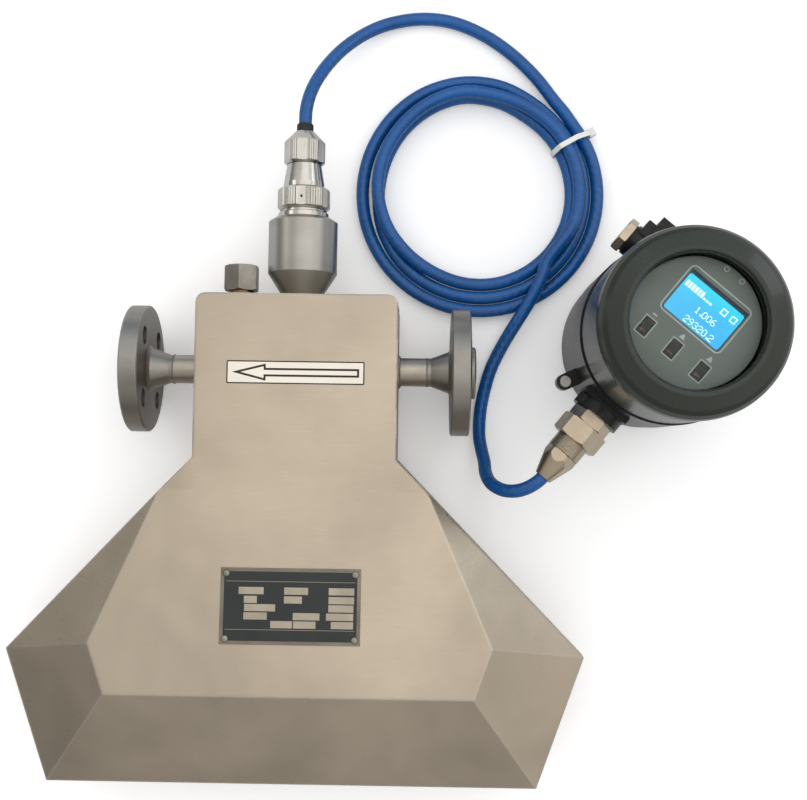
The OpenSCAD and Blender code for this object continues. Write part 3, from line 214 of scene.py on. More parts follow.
def onPlate(x, y, z):
    c, s = math.cos(plateTilt), math.sin(plateTilt)
    rise = neckFace + plateUpFromBend * math.tan(plateTilt)
    return Vector((middle + x / 1000, (plateY + y * c + z * s) / 1000, (rise - y * s + z * c) / 1000))


def onLabel(x, y, z):
    return Vector((middle + x / 1000, (y + labelY) / 1000, (neckFace + z) / 1000))


def onCircle(radius, step, count):
    a = math.tau * step / count
    return radius * math.cos(a), radius * math.sin(a)


# shared effects


def socket(group, name, kind, out=False, value=None):
    made = group.interface.new_socket(name, in_out="OUTPUT" if out else "INPUT", socket_type="NodeSocket" + kind)
    if value is not None:
        made.default_value = value
    return made


def newGroup(name, inputs, outputs):
    group = bpy.data.node_groups.new(name, "ShaderNodeTree")
    for label, kind, value in inputs:
        socket(group, label, kind, False, value)
    for label, kind in outputs:
        socket(group, label, kind, True)
    return group, group.nodes.new("NodeGroupInput"), group.nodes.new("NodeGroupOutput")


def mathNode(tree, operation, a, b=None, clamp=False):
    node = tree.nodes.new("ShaderNodeMath")
    node.operation, node.use_clamp = operation, clamp
    for plug, value in zip(node.inputs, (a, b)):
        if isinstance(value, (int, float)):
            plug.default_value = value
        elif value is not None:
            tree.links.new(value, plug)
    return node.outputs[0]


def blendColours(tree, factor, a, b):
    node = tree.nodes.new("ShaderNodeMix")
    node.data_type = "RGBA"
    for plug, value in ((node.inputs["Factor"], factor), (node.inputs[6], a), (node.inputs[7], b)):
        if isinstance(value, (int, float, tuple)):
            plug.default_value = value
        else:
            tree.links.new(value, plug)
    return node.outputs[2]


# rounded look along hard edges, and a mask of the edges where a finish wears first; on the casing the same mask also
# carries a painted highlight along the folds
softEdge, fromOut, toOut = newGroup(
    "softEdge", [("Radius", "Float", 0.001)], [("Normal", "Vector"), ("WearAndHighlight", "Float")])
link = softEdge.links.new
bevel, flat, facing = shaderNodes(softEdge, "Bevel", "NewGeometry", "VectorMath")
bevel.samples, facing.operation = 3, "DOT_PRODUCT"
link(fromOut.outputs["Radius"], bevel.inputs["Radius"])
link(bevel.outputs[0], facing.inputs[0])
link(flat.outputs["Normal"], facing.inputs[1])
turnedAway = mathNode(softEdge, "SUBTRACT", 1.0, facing.outputs["Value"])
link(mathNode(softEdge, "MULTIPLY", turnedAway, 5.0, True), toOut.inputs["WearAndHighlight"])
link(bevel.outputs[0], toOut.inputs["Normal"])

# fine grain, longer along one way where a surface is brushed or turned
fineGrain, fromOut, toOut = newGroup(
    "fineGrain", [("Scale", "Float", 500.0), ("Stretch", "Vector", (1, 1, 1)), ("Detail", "Float", 3.0)],
    [("Height", "Float")])
link = fineGrain.links.new
coords, scaled = shaderNodes(fineGrain, "TexCoord", "VectorMath")
noise = fineGrain.nodes.new("ShaderNodeTexNoise")
scaled.operation = "MULTIPLY"
link(coords.outputs["Object"], scaled.inputs[0])
link(fromOut.outputs["Stretch"], scaled.inputs[1])
link(scaled.outputs[0], noise.inputs["Vector"])
link(fromOut.outputs["Scale"], noise.inputs["Scale"])
link(fromOut.outputs["Detail"], noise.inputs["Detail"])
link(noise.outputs["Fac"], toOut.inputs["Height"])

# slow drift between two tones
toneDrift, fromOut, toOut = newGroup(
    "toneDrift", [("Tone", "Color", (0.5, 0.5, 0.5, 1)), ("OtherTone", "Color", (0.4, 0.4, 0.4, 1)),
                  ("Scale", "Float", 12.0)], [("Color", "Color")])
link = toneDrift.links.new
coords, noise = shaderNodes(toneDrift, "TexCoord", "TexNoise")
spread = toneDrift.nodes.new("ShaderNodeMapRange")
noise.inputs["Detail"].default_value, noise.inputs["Distortion"].default_value = 4.0, 0.4
setSpan(spread, "From", 0.35, 0.68)
link(coords.outputs["Object"], noise.inputs["Vector"])
link(fromOut.outputs["Scale"], noise.inputs["Scale"])
link(noise.outputs["Fac"], spread.inputs["Value"])
drifted = blendColours(toneDrift, spread.outputs[0], fromOut.outputs["Tone"], fromOut.outputs["OtherTone"])
link(drifted, toOut.inputs["Color"])

# thin scratches and rubbed marks from handling
handling, fromOut, toOut = newGroup(
    "handling", [("Scale", "Float", 60.0), ("Amount", "Float", 0.5)], [("Mark", "Float")])
link = handling.links.new
coords, noise = shaderNodes(handling, "TexCoord", "TexNoise")
cracks, sift = shaderNodes(handling, "TexVoronoi", "MapRange")
cracks.feature, cracks.distance = "DISTANCE_TO_EDGE", "EUCLIDEAN"
setSpan(sift, "From", 0.012, 0.0)
stretched = handling.nodes.new("ShaderNodeVectorMath")
stretched.operation = "MULTIPLY"
stretched.inputs[1].default_value = (1.0, 0.18, 0.6)
link(coords.outputs["Object"], stretched.inputs[0])
link(stretched.outputs[0], cracks.inputs["Vector"])
link(coords.outputs["Object"], noise.inputs["Vector"])
link(fromOut.outputs["Scale"], cracks.inputs["Scale"])
noise.inputs["Scale"].default_value = 40.0
link(cracks.outputs["Distance"], sift.inputs["Value"])
patchy = mathNode(handling, "MULTIPLY", mathNode(handling, "SUBTRACT", noise.outputs["Fac"], 0.5), 6.0, True)
marked = mathNode(handling, "MULTIPLY", sift.outputs[0], patchy)
link(mathNode(handling, "MULTIPLY", marked, fromOut.outputs["Amount"], True), toOut.inputs["Mark"])
print("shared effects are built")

# finishes


def place(tree, group, **values):
    node = tree.nodes.new("ShaderNodeGroup")
    node.node_tree = group
    for name, value in values.items():
        node.inputs[name].default_value = value
    return node


def ranged(tree, value, low, high):
    node = tree.nodes.new("ShaderNodeMapRange")
    setSpan(node, "From", 0.3, 0.7)
    setSpan(node, "To", low, high)
    tree.links.new(value, node.inputs["Value"])
    return node.outputs[0]


def tint(code):
    parts = [int(code[i:i + 2], 16) / 255 for i in (0, 2, 4)]
    return (*[p / 12.92 if p <= 0.04045 else ((p + 0.055) / 1.055) ** 2.4 for p in parts], 1)


def finish(name, tone, otherTone, metal=0.0, rough=(0.3, 0.45), drift=60, grain=900, stretch=(1, 1, 1),
           depth=0.00003, edge=0.0008, wearAndHighlightTone=None, wearAndHighlight=0.6, coat=0.0, marks=0.0, sheen=0.5):
    made, tree, shader = newMaterial(name)
    link = tree.links.new
    shader.inputs["Metallic"].default_value = metal
    shader.inputs["Coat Weight"].default_value = coat
    shader.inputs["Coat Roughness"].default_value = 0.08
    shader.inputs["Specular IOR Level"].default_value = sheen
    tones = place(tree, toneDrift, Tone=tint(tone), OtherTone=tint(otherTone), Scale=drift)
    grains = place(tree, fineGrain, Scale=grain, Stretch=stretch)
    colour = tones.outputs["Color"]
    roughness = ranged(tree, grains.outputs["Height"], *rough)
    if edge:
        edges = place(tree, softEdge, Radius=edge)
    # edges lighten towards a given tone: wear on most finishes, and on the casing partly rubbed steel and partly a
    # painted highlight along the folds
    if wearAndHighlightTone:
        patchy = mathNode(tree, "MULTIPLY", edges.outputs["WearAndHighlight"], grains.outputs["Height"])
        wearAndHighlightMask = mathNode(tree, "MULTIPLY", patchy, 2 * wearAndHighlight, True)
        colour = blendColours(tree, wearAndHighlightMask, colour, tint(wearAndHighlightTone))
    if marks:
        scuffs = place(tree, handling, Amount=marks)
        roughness = mathNode(tree, "ADD", roughness, mathNode(tree, "MULTIPLY", scuffs.outputs["Mark"], 0.25))
        colour = blendColours(tree, mathNode(tree, "MULTIPLY", scuffs.outputs["Mark"], 0.35), colour, tint("E8E6E0"))
    bump = tree.nodes.new("ShaderNodeBump")
    bump.inputs["Distance"].default_value = depth
    link(grains.outputs["Height"], bump.inputs["Height"])
    if edge:
        link(edges.outputs["Normal"], bump.inputs["Normal"])
    link(bump.outputs[0], shader.inputs["Normal"])
    link(colour, shader.inputs["Base Color"])
    link(roughness, shader.inputs["Roughness"])
    return made


finishes = {
    # the casing's lighter edge tone is partly rubbed steel and partly a painted highlight along its folds
    "casing_steel": finish("warmCasingSteel", "C8BBA9", "B4A999", metal=0.92, rough=(0.27, 0.35), drift=9,
        grain=700, stretch=(0.1, 1, 1), depth=0.000003, edge=0.0027, wearAndHighlightTone="E2DACD", wearAndHighlight=1.7),
    "flange_steel": finish("turnedFlangeSteel", "A29F9A", "918D88", metal=1.0, rough=(0.28, 0.42), drift=25,
        grain=700, depth=0.00002, wearAndHighlightTone="E2E0DA", wearAndHighlight=0.5, marks=0.4),
    "spool_steel": finish("drawnSpoolSteel", "BDB6AB", "A69E92", metal=1.0, rough=(0.25, 0.4), drift=30, grain=800,
        stretch=(0.1, 1, 1), depth=0.00001, edge=0.0006),
    "inner_steel": finish("innerSteel", "A9A7A2", "99968F", metal=1.0, drift=20, grain=600.0),
    "tube_steel": finish("tubeSteel", "B9B6B0", "A8A49D", metal=1.0, rough=(0.2, 0.3), drift=30, depth=0.00001,
        edge=0.0004),
    "copper_winding": finish("copperWinding", "B5703A", "9A5A2B", metal=0.9, rough=(0.25, 0.4), grain=1500,
        stretch=(1, 1, 6), depth=0.00005, edge=0.0003),
    "magnet_steel": finish("magnetPlate", "A5A5A8", "8E8E92", metal=1.0, rough=(0.2, 0.3), drift=40),
    "circuit_board": finish("circuitBoard", "1E5B38", "174A2D", rough=(0.35, 0.5), drift=80, grain=1200,
        depth=0.00002, edge=0.0003),
    "vent_steel": finish("ventSteel", "A7A29A", "8F8A82", metal=1.0, rough=(0.26, 0.4), depth=0.00002, edge=0.0007,
        wearAndHighlightTone="E0DCD2", marks=0.3),
    "copper_washer": finish("copperWasher", "8F6E55", "7A5C46", metal=1.0, rough=(0.25, 0.4), drift=80,
        depth=0.00002, edge=0.0003),
    "blasted_steel": finish("beadBlastedSteel", "B9B6B0", "A9A6A0", metal=0.95, rough=(0.28, 0.36), drift=30,
        grain=1800, edge=0.0007, wearAndHighlightTone="D6D2CA", wearAndHighlight=0.5),
    "nickel_plate": finish("nickelPlate", "D3D1CB", "C5C1B9", metal=1.0, rough=(0.12, 0.22), drift=50, grain=1200,
        depth=0.00001, edge=0.00035, wearAndHighlightTone="F2EEE2", wearAndHighlight=0.5, marks=0.25),
    "insulator": finish("insulator", "2A2A2C", "222224", rough=(0.4, 0.55), drift=80),
    "black_rubber": finish("blackRubber", "1D1C1D", "262526", rough=(0.5, 0.65), grain=1500, depth=0.00006,
        edge=0.0004),
    "label_film": finish("labelFilm", "EFE7DA", "E9E0D1", rough=(0.4, 0.5), drift=30, grain=600.0, depth=0.000008,
        edge=0),
    "plate_black": finish("plateBorder", "8A8477", "797266", metal=0.85, rough=(0.3, 0.4), drift=40,
        stretch=(0.1, 1, 1), depth=0.00001, edge=0.0004, wearAndHighlightTone="DDD8CC", wearAndHighlight=0.4),
    "rivet_aluminium": finish("rivetAluminium", "A9A59C", "8F8B82", metal=1.0, rough=(0.25, 0.38), drift=80,
        depth=0.00002, edge=0.0004),
    "housing_paint": finish("blackHousingPaint", "0A0B0C", "101213", rough=(0.2, 0.3), drift=30, depth=0.00002,
        edge=0.0012, wearAndHighlightTone="2C3030", wearAndHighlight=0.25, coat=0.12, sheen=0.3),
    "cover_paint": finish("oliveCoverPaint", "232923", "272D27", rough=(0.2, 0.28), drift=22, depth=0.000015,
        edge=0.0012, wearAndHighlightTone="434842", wearAndHighlight=0.2, coat=0.2, sheen=0.4),
    "retainer_black": finish("retainerBlack", "1A1C1B", "222423", metal=0.2, rough=(0.35, 0.5), drift=40),
    "faceplate_grey": finish("faceplateGrey", "787D7B", "717674", rough=(0.4, 0.5), drift=25, grain=1100,
        depth=0.00001, edge=0.0004),
    "display_blue": finish("displayEdge", "1E3C66", "18304F", rough=(0.3, 0.4), drift=40),
    "key_dark": finish("keyWindow", "241F1E", "2C2624", rough=(0.12, 0.2), drift=90, depth=0.00001, edge=0.0003),
    "potting": finish("pottingResin", "1B1B1E", "242428", rough=(0.2, 0.35), grain=500),
    "terminal_green": finish("terminalGreen", "2C7A4B", "256A40", rough=(0.35, 0.45)),
    "gland_nickel": finish("glandNickel", "C6B9A4", "B3A58F", metal=1.0, rough=(0.17, 0.28), drift=50, grain=1100,
        depth=0.000005, edge=0.0006, wearAndHighlightTone="E4DECF", wearAndHighlight=0.5, marks=0.3),
    "screw_steel": finish("screwSteel", "B5B2AC", "9C9892", metal=1.0, rough=(0.22, 0.36), drift=80, grain=1100,
        depth=0.00002, edge=0.0004, wearAndHighlightTone="E6E3DC", wearAndHighlight=0.5),
    "nylon_white": finish("whiteNylon", "E9E9E4", "DFDFDA", rough=(0.28, 0.4), grain=1200, edge=0.0003),
}


glassLook = {"tone": "F4F8F6", "otherTone": "EEF4F1", "bending": 1.12, "smears": 35.0, "rough": (0.0, 0.05)}


def glassFinish():
    made, tree, shader = newMaterial("windowGlass")
    link = tree.links.new
    shader.inputs["Transmission Weight"].default_value = 1.0
    shader.inputs["IOR"].default_value = glassLook["bending"]
    smears = place(tree, fineGrain, Scale=glassLook["smears"], Detail=5.0)
    link(ranged(tree, smears.outputs["Height"], *glassLook["rough"]), shader.inputs["Roughness"])
    tones = place(tree, toneDrift, Tone=tint(glassLook["tone"]), OtherTone=tint(glassLook["otherTone"]), Scale=20.0)
    link(tones.outputs["Color"], shader.inputs["Base Color"])
    return made


sheathLook = {
    "tone": "0758A0", "otherTone": "074E8E", "rubbed": "6E9CC8", "rub": 0.3, "marks": 0.8,
    # sideTone, side and shadeBlend are painted shade: the cable darkens towards the edges that turn away from the
    # camera
    "sideTone": "03305F", "side": 0.75, "shadeBlend": 0.35, "rough": (0.24, 0.34), "coat": 0.05,
    "lobes": 3, "lay": 90.0, "layDepth": 0.00008, "grain": 1400.0, "grainDepth": 0.00002,
}


def cableFinish():
    made, tree, shader = newMaterial("blueSheath")
    link = tree.links.new
    shader.inputs["Coat Weight"].default_value = sheathLook["coat"]
    uv, split = shaderNodes(tree, "UVMap", "SeparateXYZ")
    uv.uv_map = "sheathMap"
    link(uv.outputs[0], split.inputs[0])
    lobes = mathNode(tree, "MULTIPLY", split.outputs["X"], math.tau * sheathLook["lobes"])
    turn = mathNode(tree, "ADD", lobes, mathNode(tree, "MULTIPLY", split.outputs["Y"], sheathLook["lay"]))
    ridges = mathNode(tree, "SINE", turn)       # the cores' lay shows faintly through the sheath
    grains = place(tree, fineGrain, Scale=sheathLook["grain"])
    tones = place(tree, toneDrift, Tone=tint(sheathLook["tone"]), OtherTone=tint(sheathLook["otherTone"]), Scale=25.0)
    scuffs = place(tree, handling, Scale=90.0, Amount=sheathLook["marks"])
    scuffed = mathNode(tree, "MULTIPLY", scuffs.outputs["Mark"], sheathLook["rub"])
    colour = blendColours(tree, scuffed, tones.outputs["Color"], tint(sheathLook["rubbed"]))
    first, second = shaderNodes(tree, "Bump", "Bump")
    first.inputs["Distance"].default_value = sheathLook["layDepth"]
    second.inputs["Distance"].default_value = sheathLook["grainDepth"]
    link(ridges, first.inputs["Height"])
    link(grains.outputs["Height"], second.inputs["Height"])
    link(first.outputs[0], second.inputs["Normal"])
    link(second.outputs[0], shader.inputs["Normal"])
    # painted shade: the sheath's colour darkens towards its edges as the camera sees them, standing in for the shade
    # on the cable's sides
    side = tree.nodes.new("ShaderNodeLayerWeight")
    side.inputs["Blend"].default_value = sheathLook["shadeBlend"]
    paintedSideShade = mathNode(tree, "MULTIPLY", side.outputs["Facing"], sheathLook["side"])
    link(blendColours(tree, paintedSideShade, colour, tint(sheathLook["sideTone"])), shader.inputs["Base Color"])
    link(ranged(tree, grains.outputs["Height"], *sheathLook["rough"]), shader.inputs["Roughness"])
    return made


# the casing's shading turns over a few centimetres where the neck meets the sloping panel
bend = {"y": -0.089, "reach": 0.02, "halfWidth": 0.072, "facing": 0.97}


def softenBend(made):
    tree = made.node_tree
    link = tree.links.new
    bump = next(n for n in tree.nodes if n.type == "BUMP")
    tight = bump.inputs["Normal"].links[0].from_socket
    coords, split, mix = shaderNodes(tree, "TexCoord", "SeparateXYZ", "Mix")
    flat, facing, over = shaderNodes(tree, "NewGeometry", "SeparateXYZ", "MapRange")
    lean, unit = shaderNodes(tree, "CombineXYZ", "VectorMath")
    mix.data_type, over.interpolation_type, unit.operation = "VECTOR", "SMOOTHSTEP", "NORMALIZE"
    setSpan(over, "From", -bend["y"] - bend["reach"], -bend["y"] + bend["reach"])
    over.inputs["To Max"].default_value = panelSlope
    lean.inputs["Z"].default_value = 1.0
    link(coords.outputs["Object"], split.inputs[0])
    link(flat.outputs["Normal"], facing.inputs[0])
    link(mathNode(tree, "MULTIPLY", split.outputs["Y"], -1.0), over.inputs["Value"])
    link(over.outputs[0], lean.inputs["Y"])
    link(lean.outputs[0], unit.inputs[0])

    def within(value, centre, reach):
        away = mathNode(tree, "ABSOLUTE", mathNode(tree, "SUBTRACT", value, centre))
        return mathNode(tree, "LESS_THAN", away, reach)

    near = within(split.outputs["Y"], bend["y"], bend["reach"])
    inside = within(split.outputs["X"], middle, bend["halfWidth"])
    upward = mathNode(tree, "GREATER_THAN", facing.outputs["Z"], bend["facing"])
    link(mathNode(tree, "MULTIPLY", mathNode(tree, "MULTIPLY", near, inside), upward), mix.inputs["Factor"])
    link(tight, mix.inputs[4])
    link(unit.outputs[0], mix.inputs[5])
    link(mix.outputs[1], bump.inputs["Normal"])


def ripple(made, scale, depth):
    tree = made.node_tree
    bump = next(n for n in tree.nodes if n.type == "BUMP")
    wavy = tree.nodes.new("ShaderNodeBump")
    wavy.inputs["Distance"].default_value = depth
    tree.links.new(place(tree, fineGrain, Scale=scale, Detail=1.0).outputs["Height"], wavy.inputs["Height"])
    tree.links.new(bump.inputs["Normal"].links[0].from_socket, wavy.inputs["Normal"])
    tree.links.new(wavy.outputs[0], bump.inputs["Normal"])


softenBend(finishes["casing_steel"])
ripple(finishes["casing_steel"], 22.0, 0.0009)      # sheet that was pressed and welded is never quite flat
ripple(finishes["housing_paint"], 160.0, 0.00006)
ripple(finishes["cover_paint"], 160.0, 0.00004)
finishes["window"] = glassFinish()
finishes["cable_blue"] = cableFinish()

for name, node in nodes.items():
    for row in node.material_slots:
        row.material = finishes[row.material.name.split(".")[0]]
print("every node has its finish")

# making pieces


def addPiece(name, mesh, slotName, body="root", standsFor=(), look=None, smooth=35):
    mesh.materials.clear()
    mesh.materials.append(look or finishes[slotName])
    if smooth:
        mesh.shade_smooth()
        mesh.set_sharp_from_angle(angle=math.radians(smooth))
    piece = bpy.data.objects.new(name, mesh)
    scene.collection.objects.link(piece)
    bpy.context.view_layer.update()
    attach(piece, body)
    if standsFor:
        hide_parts(*standsFor)
    return piece


def meshFrom(bm, name):
    bmesh.ops.recalc_face_normals(bm, faces=bm.faces)
    mesh = bpy.data.meshes.new(name)
    bm.to_mesh(mesh)
    bm.free()
    return mesh


def raisePlate(bm, outline, put, low, high, hole=None):
    def ring(points, z):
        return [bm.verts.new(put(x, y, z)) for x, y in points]
    count = len(outline)
    top, under = ring(outline, high), ring(outline, low)
    for i in range(count):
        bm.faces.new((under[i], under[(i + 1) % count], top[(i + 1) % count], top[i]))
    if hole:
        topHole, underHole = ring(hole, high), ring(hole, low)
        for i in range(count):
            j = (i + 1) % count
            bm.faces.new((top[i], top[j], topHole[j], topHole[i]))
            bm.faces.new((under[j], under[i], underHole[i], underHole[j]))
            bm.faces.new((topHole[i], topHole[j], underHole[j], underHole[i]))
    else:
        bm.faces.new(top)
        bm.faces.new(list(reversed(under)))


def roundedBox(width, height, radius, centre=(0, 0), steps=6):
    points = []
    for corner, (sx, sy) in enumerate(((1, 1), (-1, 1), (-1, -1), (1, -1))):
        for i in range(steps + 1):
            a = math.radians(90 * corner + 90 * i / steps)
            points.append((centre[0] + sx * (width / 2 - radius) + radius * math.cos(a),
                           centre[1] + sy * (height / 2 - radius) + radius * math.sin(a)))
    return points


def addPrint(bm, name, slotName, look, body="root"):
    addPiece(name, meshFrom(bm, name), slotName, body, look=look, smooth=0)


# cable

cable = {
    "diameter": 0.010, "sides": 20, "perPoint": 6,
    "lead": [(0, 188.1, 47.5), (0.5, 200, 47), (3, 213, 43.5), (8, 227, 37), (16, 242, 29), (28, 258, 20),
             (45, 273, 11), (64, 282.5, 6), (88, 286.5, 5), (112, 284, 5), (136, 274.5, 5), (158, 260, 5),
             (178, 241, 5.7), (193.3, 221.5, 6.4), (205.6, 206.1, 6.4)],
    "tail": [(189.5, 93, 16.2), (184.3, 78.8, 17.1), (177, 63, 17.2), (168, 47.5, 14.2), (159.2, 33, 9.3),
             (151.3, 18.5, 6), (145.2, 4.5, 5), (141, -10.5, 5), (138.3, -24.5, 5), (137.2, -36.5, 6.5),
             (137.1, -47.2, 10.5), (138.4, -56.6, 16.3), (140.4, -66.2, 24.5), (141.1, -75.2, 33.6),
             (144.5, -82.4, 44.3), (151.7, -86.8, 54.3), (159.6, -87.7, 61.3), (167.1, -86, 66),
             (174, -82.4, 68.8)],
    "coilCentre": (135.5, 145), "startAngle": 41.1, "radii": (93.0, 82.6, 72.1), "low": 6.4,
    "outerTucks": ((270, 35, 2), (298, 60, 8.5)),      # angle along the coil, degrees it takes, drop in radius
    "innerTucks": ((540, 60, 3.2), (652, 58, 7.4)),
    "climb": {"from": 850, "takes": 110, "turn": 100, "step": 10.45},      # the last turn rolls over the one under it
    "leave": {"from": 1015, "takes": 65, "radius": 77.3, "height": 15.7},
    "coilKnots": (20, 1141, 20), "glandTip": 132, "insideGland": (0, 14, 32), "entryHeight": 70,
}


def ease(u):
    u = min(1, max(0, u))
    return u * u * (3 - 2 * u)


def tucked(radius, f, tucks):
    for start, takes, drop in tucks:
        radius -= drop * ease((f - start) / takes)
    return radius


def coilPoint(f):
    first, second, third = cable["radii"]
    height = cable["low"]
    if f <= 360:
        radius = tucked(first, f, cable["outerTucks"])
    elif f <= 720:
        radius = tucked(second, f, cable["innerTucks"])
    else:
        climb = cable["climb"]
        over = math.radians(climb["turn"]) * ease((f - climb["from"]) / climb["takes"])
        under = third if f > 1080 else tucked(second, f - 360, cable["innerTucks"])
        radius, height = under - climb["step"] * math.cos(over), height + climb["step"] * math.sin(over)
    leave = cable["leave"]
    if f > leave["from"]:
        u = ease((f - leave["from"]) / leave["takes"])
        radius, height = radius * (1 - u) + leave["radius"] * u, height * (1 - u) + leave["height"] * u
    a = math.radians(cable["startAngle"] - f)
    centre = cable["coilCentre"]
    return centre[0] + radius * math.cos(a), centre[1] + radius * math.sin(a), height


def cableRoute():
    benched = cable["lead"] + [coilPoint(f) for f in range(*cable["coilKnots"])] + cable["tail"]
    knots = [onBench(*p) for p in benched]
    knots += [onDial(0, d - cable["glandTip"], cable["entryHeight"]) for d in cable["insideGland"]]
    route = []
    for i in range(len(knots) - 1):
        a, b = knots[i], knots[i + 1]
        before = knots[i - 1] if i else a - (b - a)
        after = knots[i + 2] if i + 2 < len(knots) else b + (b - a)
        for k in range(cable["perPoint"]):
            t = k / cable["perPoint"]
            route.append(0.5 * ((2 * a) + (b - before) * t + (2 * before - 5 * a + 4 * b - after) * t * t
                                + (3 * a - before - 3 * b + after) * t ** 3))
    return route + [knots[-1]]


def sheath(route, radius, sides, name):
    bm = bmesh.new()
    uvLayer = bm.loops.layers.uv.new("sheathMap")
    last = len(route) - 1
    ways = [(route[min(i + 1, last)] - route[max(i - 1, 0)]).normalized() for i in range(last + 1)]
    side = ways[0].orthogonal().normalized()
    rings, along = [], [0.0]
    for i, point in enumerate(route):
        side = (side - ways[i] * side.dot(ways[i])).normalized()
        other = ways[i].cross(side)
        ring = [onCircle(radius, k, sides) for k in range(sides)]
        rings.append([bm.verts.new(point + u * side + v * other) for u, v in ring])
        if i:
            along.append(along[-1] + (point - route[i - 1]).length)
    for i in range(last):
        for k in range(sides):
            n = (k + 1) % sides
            face = bm.faces.new((rings[i][k], rings[i][n], rings[i + 1][n], rings[i + 1][k]))
            for loop, u, v in zip(face.loops, (k, k + 1, k + 1, k), (i, i, i + 1, i + 1)):
                loop[uvLayer].uv = (u / sides, along[v] * 10)
    bm.faces.new(list(reversed(rings[0])))
    bm.faces.new(rings[last])
    return meshFrom(bm, name), along[-1]


route = cableRoute()
cableMesh, cableLength = sheath(route, cable["diameter"] / 2, cable["sides"], "signalCable")
signalCable = addPiece("signalCable", cableMesh, "cable_blue", standsFor=("cable_lead", "cable_coil", "cable_tail"))
print("cable: %.3f m" % cableLength)

# display

display = {
    "window": (45.8, 31.2), "up": 10.8, "top": 180.0, "screen": 179.2,
    "screenIn": (1.0, 3.0), "screenCorner": 1.6, "screenDown": 1.1,
    "tones": ("3CBEFF", "30B4FC"), "highTone": "00E4FF", "highSpan": (-0.004, 0.0135), "highPower": 1.6,
    "sideTone": "6FE4FF", "sideSpan": (0.023, -0.02), "side": 0.25, "rimTone": "4B58E8", "rim": 0.02245,
    "glow": 1.0, "digitGlow": 0.75, "digitTones": ("E4FFFF", "D4FAFF"),
    "dot": 0.62, "tall": 0.98, "readings": (("1.006", 11.5, 5.5), ("29320.2", 16.5, -3.3)),      # text, right, low
    "bars": {"left": -20.8, "low": 15.2, "pitch": 2.5, "wide": 1.8, "heights": [4.2] * 6 + [1.4] * 3},
    "marks": {"at": (8.2, 15.8), "low": 15.2, "wide": 4.2, "line": 0.7, "side": 3.0, "high": 3.7},
    "border": ((4.2, 5.4, 4.4), (2.4, 3.6, 3.4)), "borderUp": 0.6,      # outer and inner: past the window, corner
    "keyPitch": 22.5, "keyDown": 21.7, "key": (7.9, 12.2), "line": 0.75, "rings": (6.3, 40.0), "ring": (1.9, 1.3),
    "arrow": (2.2, -13.2, -9.4), "bar": (3.6, 1.0, -12.2),      # over the keys
    "lenses": ((-0.9, 1.15), (1.3, 0.7)), "lensDown": 3, "lensSides": 16, "lensTones": ("7A625A", "5E4A45"),
    "printTones": ("C4CCCB", "B4BCBB"),
}
digitRows = {
    "0": "01110 10001 10001 10001 10001 10001 01110", "1": "00100 01100 00100 00100 00100 00100 01110",
    "2": "01110 10001 00001 00110 01000 10000 11111", "3": "01110 10001 00001 00110 00001 10001 01110",
    "6": "00110 01000 10000 11110 10001 10001 01110", "9": "01110 10001 10001 01111 00001 00010 01100",
    ".": "00000 00000 00000 00000 00000 01100 01100",
}


def lcdFinish():
    made, tree, shader = newMaterial("backlitScreen")
    link = tree.links.new
    coords, turned, split = shaderNodes(tree, "TexCoord", "Mapping", "SeparateXYZ")
    turned.vector_type = "POINT"
    turned.inputs["Rotation"].default_value = (0, 0, -dialTurn)
    c, s = math.cos(-dialTurn), math.sin(-dialTurn)
    across, along = dialPlace.x * c - dialPlace.y * s, dialPlace.x * s + dialPlace.y * c
    turned.inputs["Location"].default_value = (-across, -along - display["up"] / 1000, 0)
    link(coords.outputs["Object"], turned.inputs[0])
    link(turned.outputs[0], split.inputs[0])
    rise, aside = shaderNodes(tree, "MapRange", "MapRange")
    setSpan(rise, "From", *display["highSpan"])
    setSpan(aside, "From", *display["sideSpan"])
    link(split.outputs["Y"], rise.inputs["Value"])
    link(split.outputs["X"], aside.inputs["Value"])
    tone, otherTone = (tint(code) for code in display["tones"])
    tones = place(tree, toneDrift, Tone=tone, OtherTone=otherTone, Scale=60.0)
    high = mathNode(tree, "POWER", rise.outputs[0], display["highPower"])
    lit = blendColours(tree, high, tones.outputs["Color"], tint(display["highTone"]))
    beside = mathNode(tree, "MULTIPLY", aside.outputs[0], display["side"])
    lit = blendColours(tree, beside, lit, tint(display["sideTone"]))
    atRim = mathNode(tree, "GREATER_THAN", mathNode(tree, "ABSOLUTE", split.outputs["X"]), display["rim"])
    link(blendColours(tree, atRim, lit, tint(display["rimTone"])), shader.inputs["Emission Color"])
    shader.inputs["Emission Strength"].default_value = display["glow"]
    shader.inputs["Base Color"].default_value = tint("0A2A3C")
    grains = place(tree, fineGrain, Scale=900.0)
    link(ranged(tree, grains.outputs["Height"], 0.2, 0.3), shader.inputs["Roughness"])
    return made


def printedFinish(name, tone, otherTone, glow=0.0):
    made = finish(name, tone, otherTone, rough=(0.45, 0.6), drift=80, depth=0.000005, edge=0)
    shader = made.node_tree.nodes["Principled BSDF"]
    if glow:
        made.node_tree.links.new(shader.inputs["Base Color"].links[0].from_socket, shader.inputs["Emission Color"])
        shader.inputs["Emission Strength"].default_value = glow
    return made


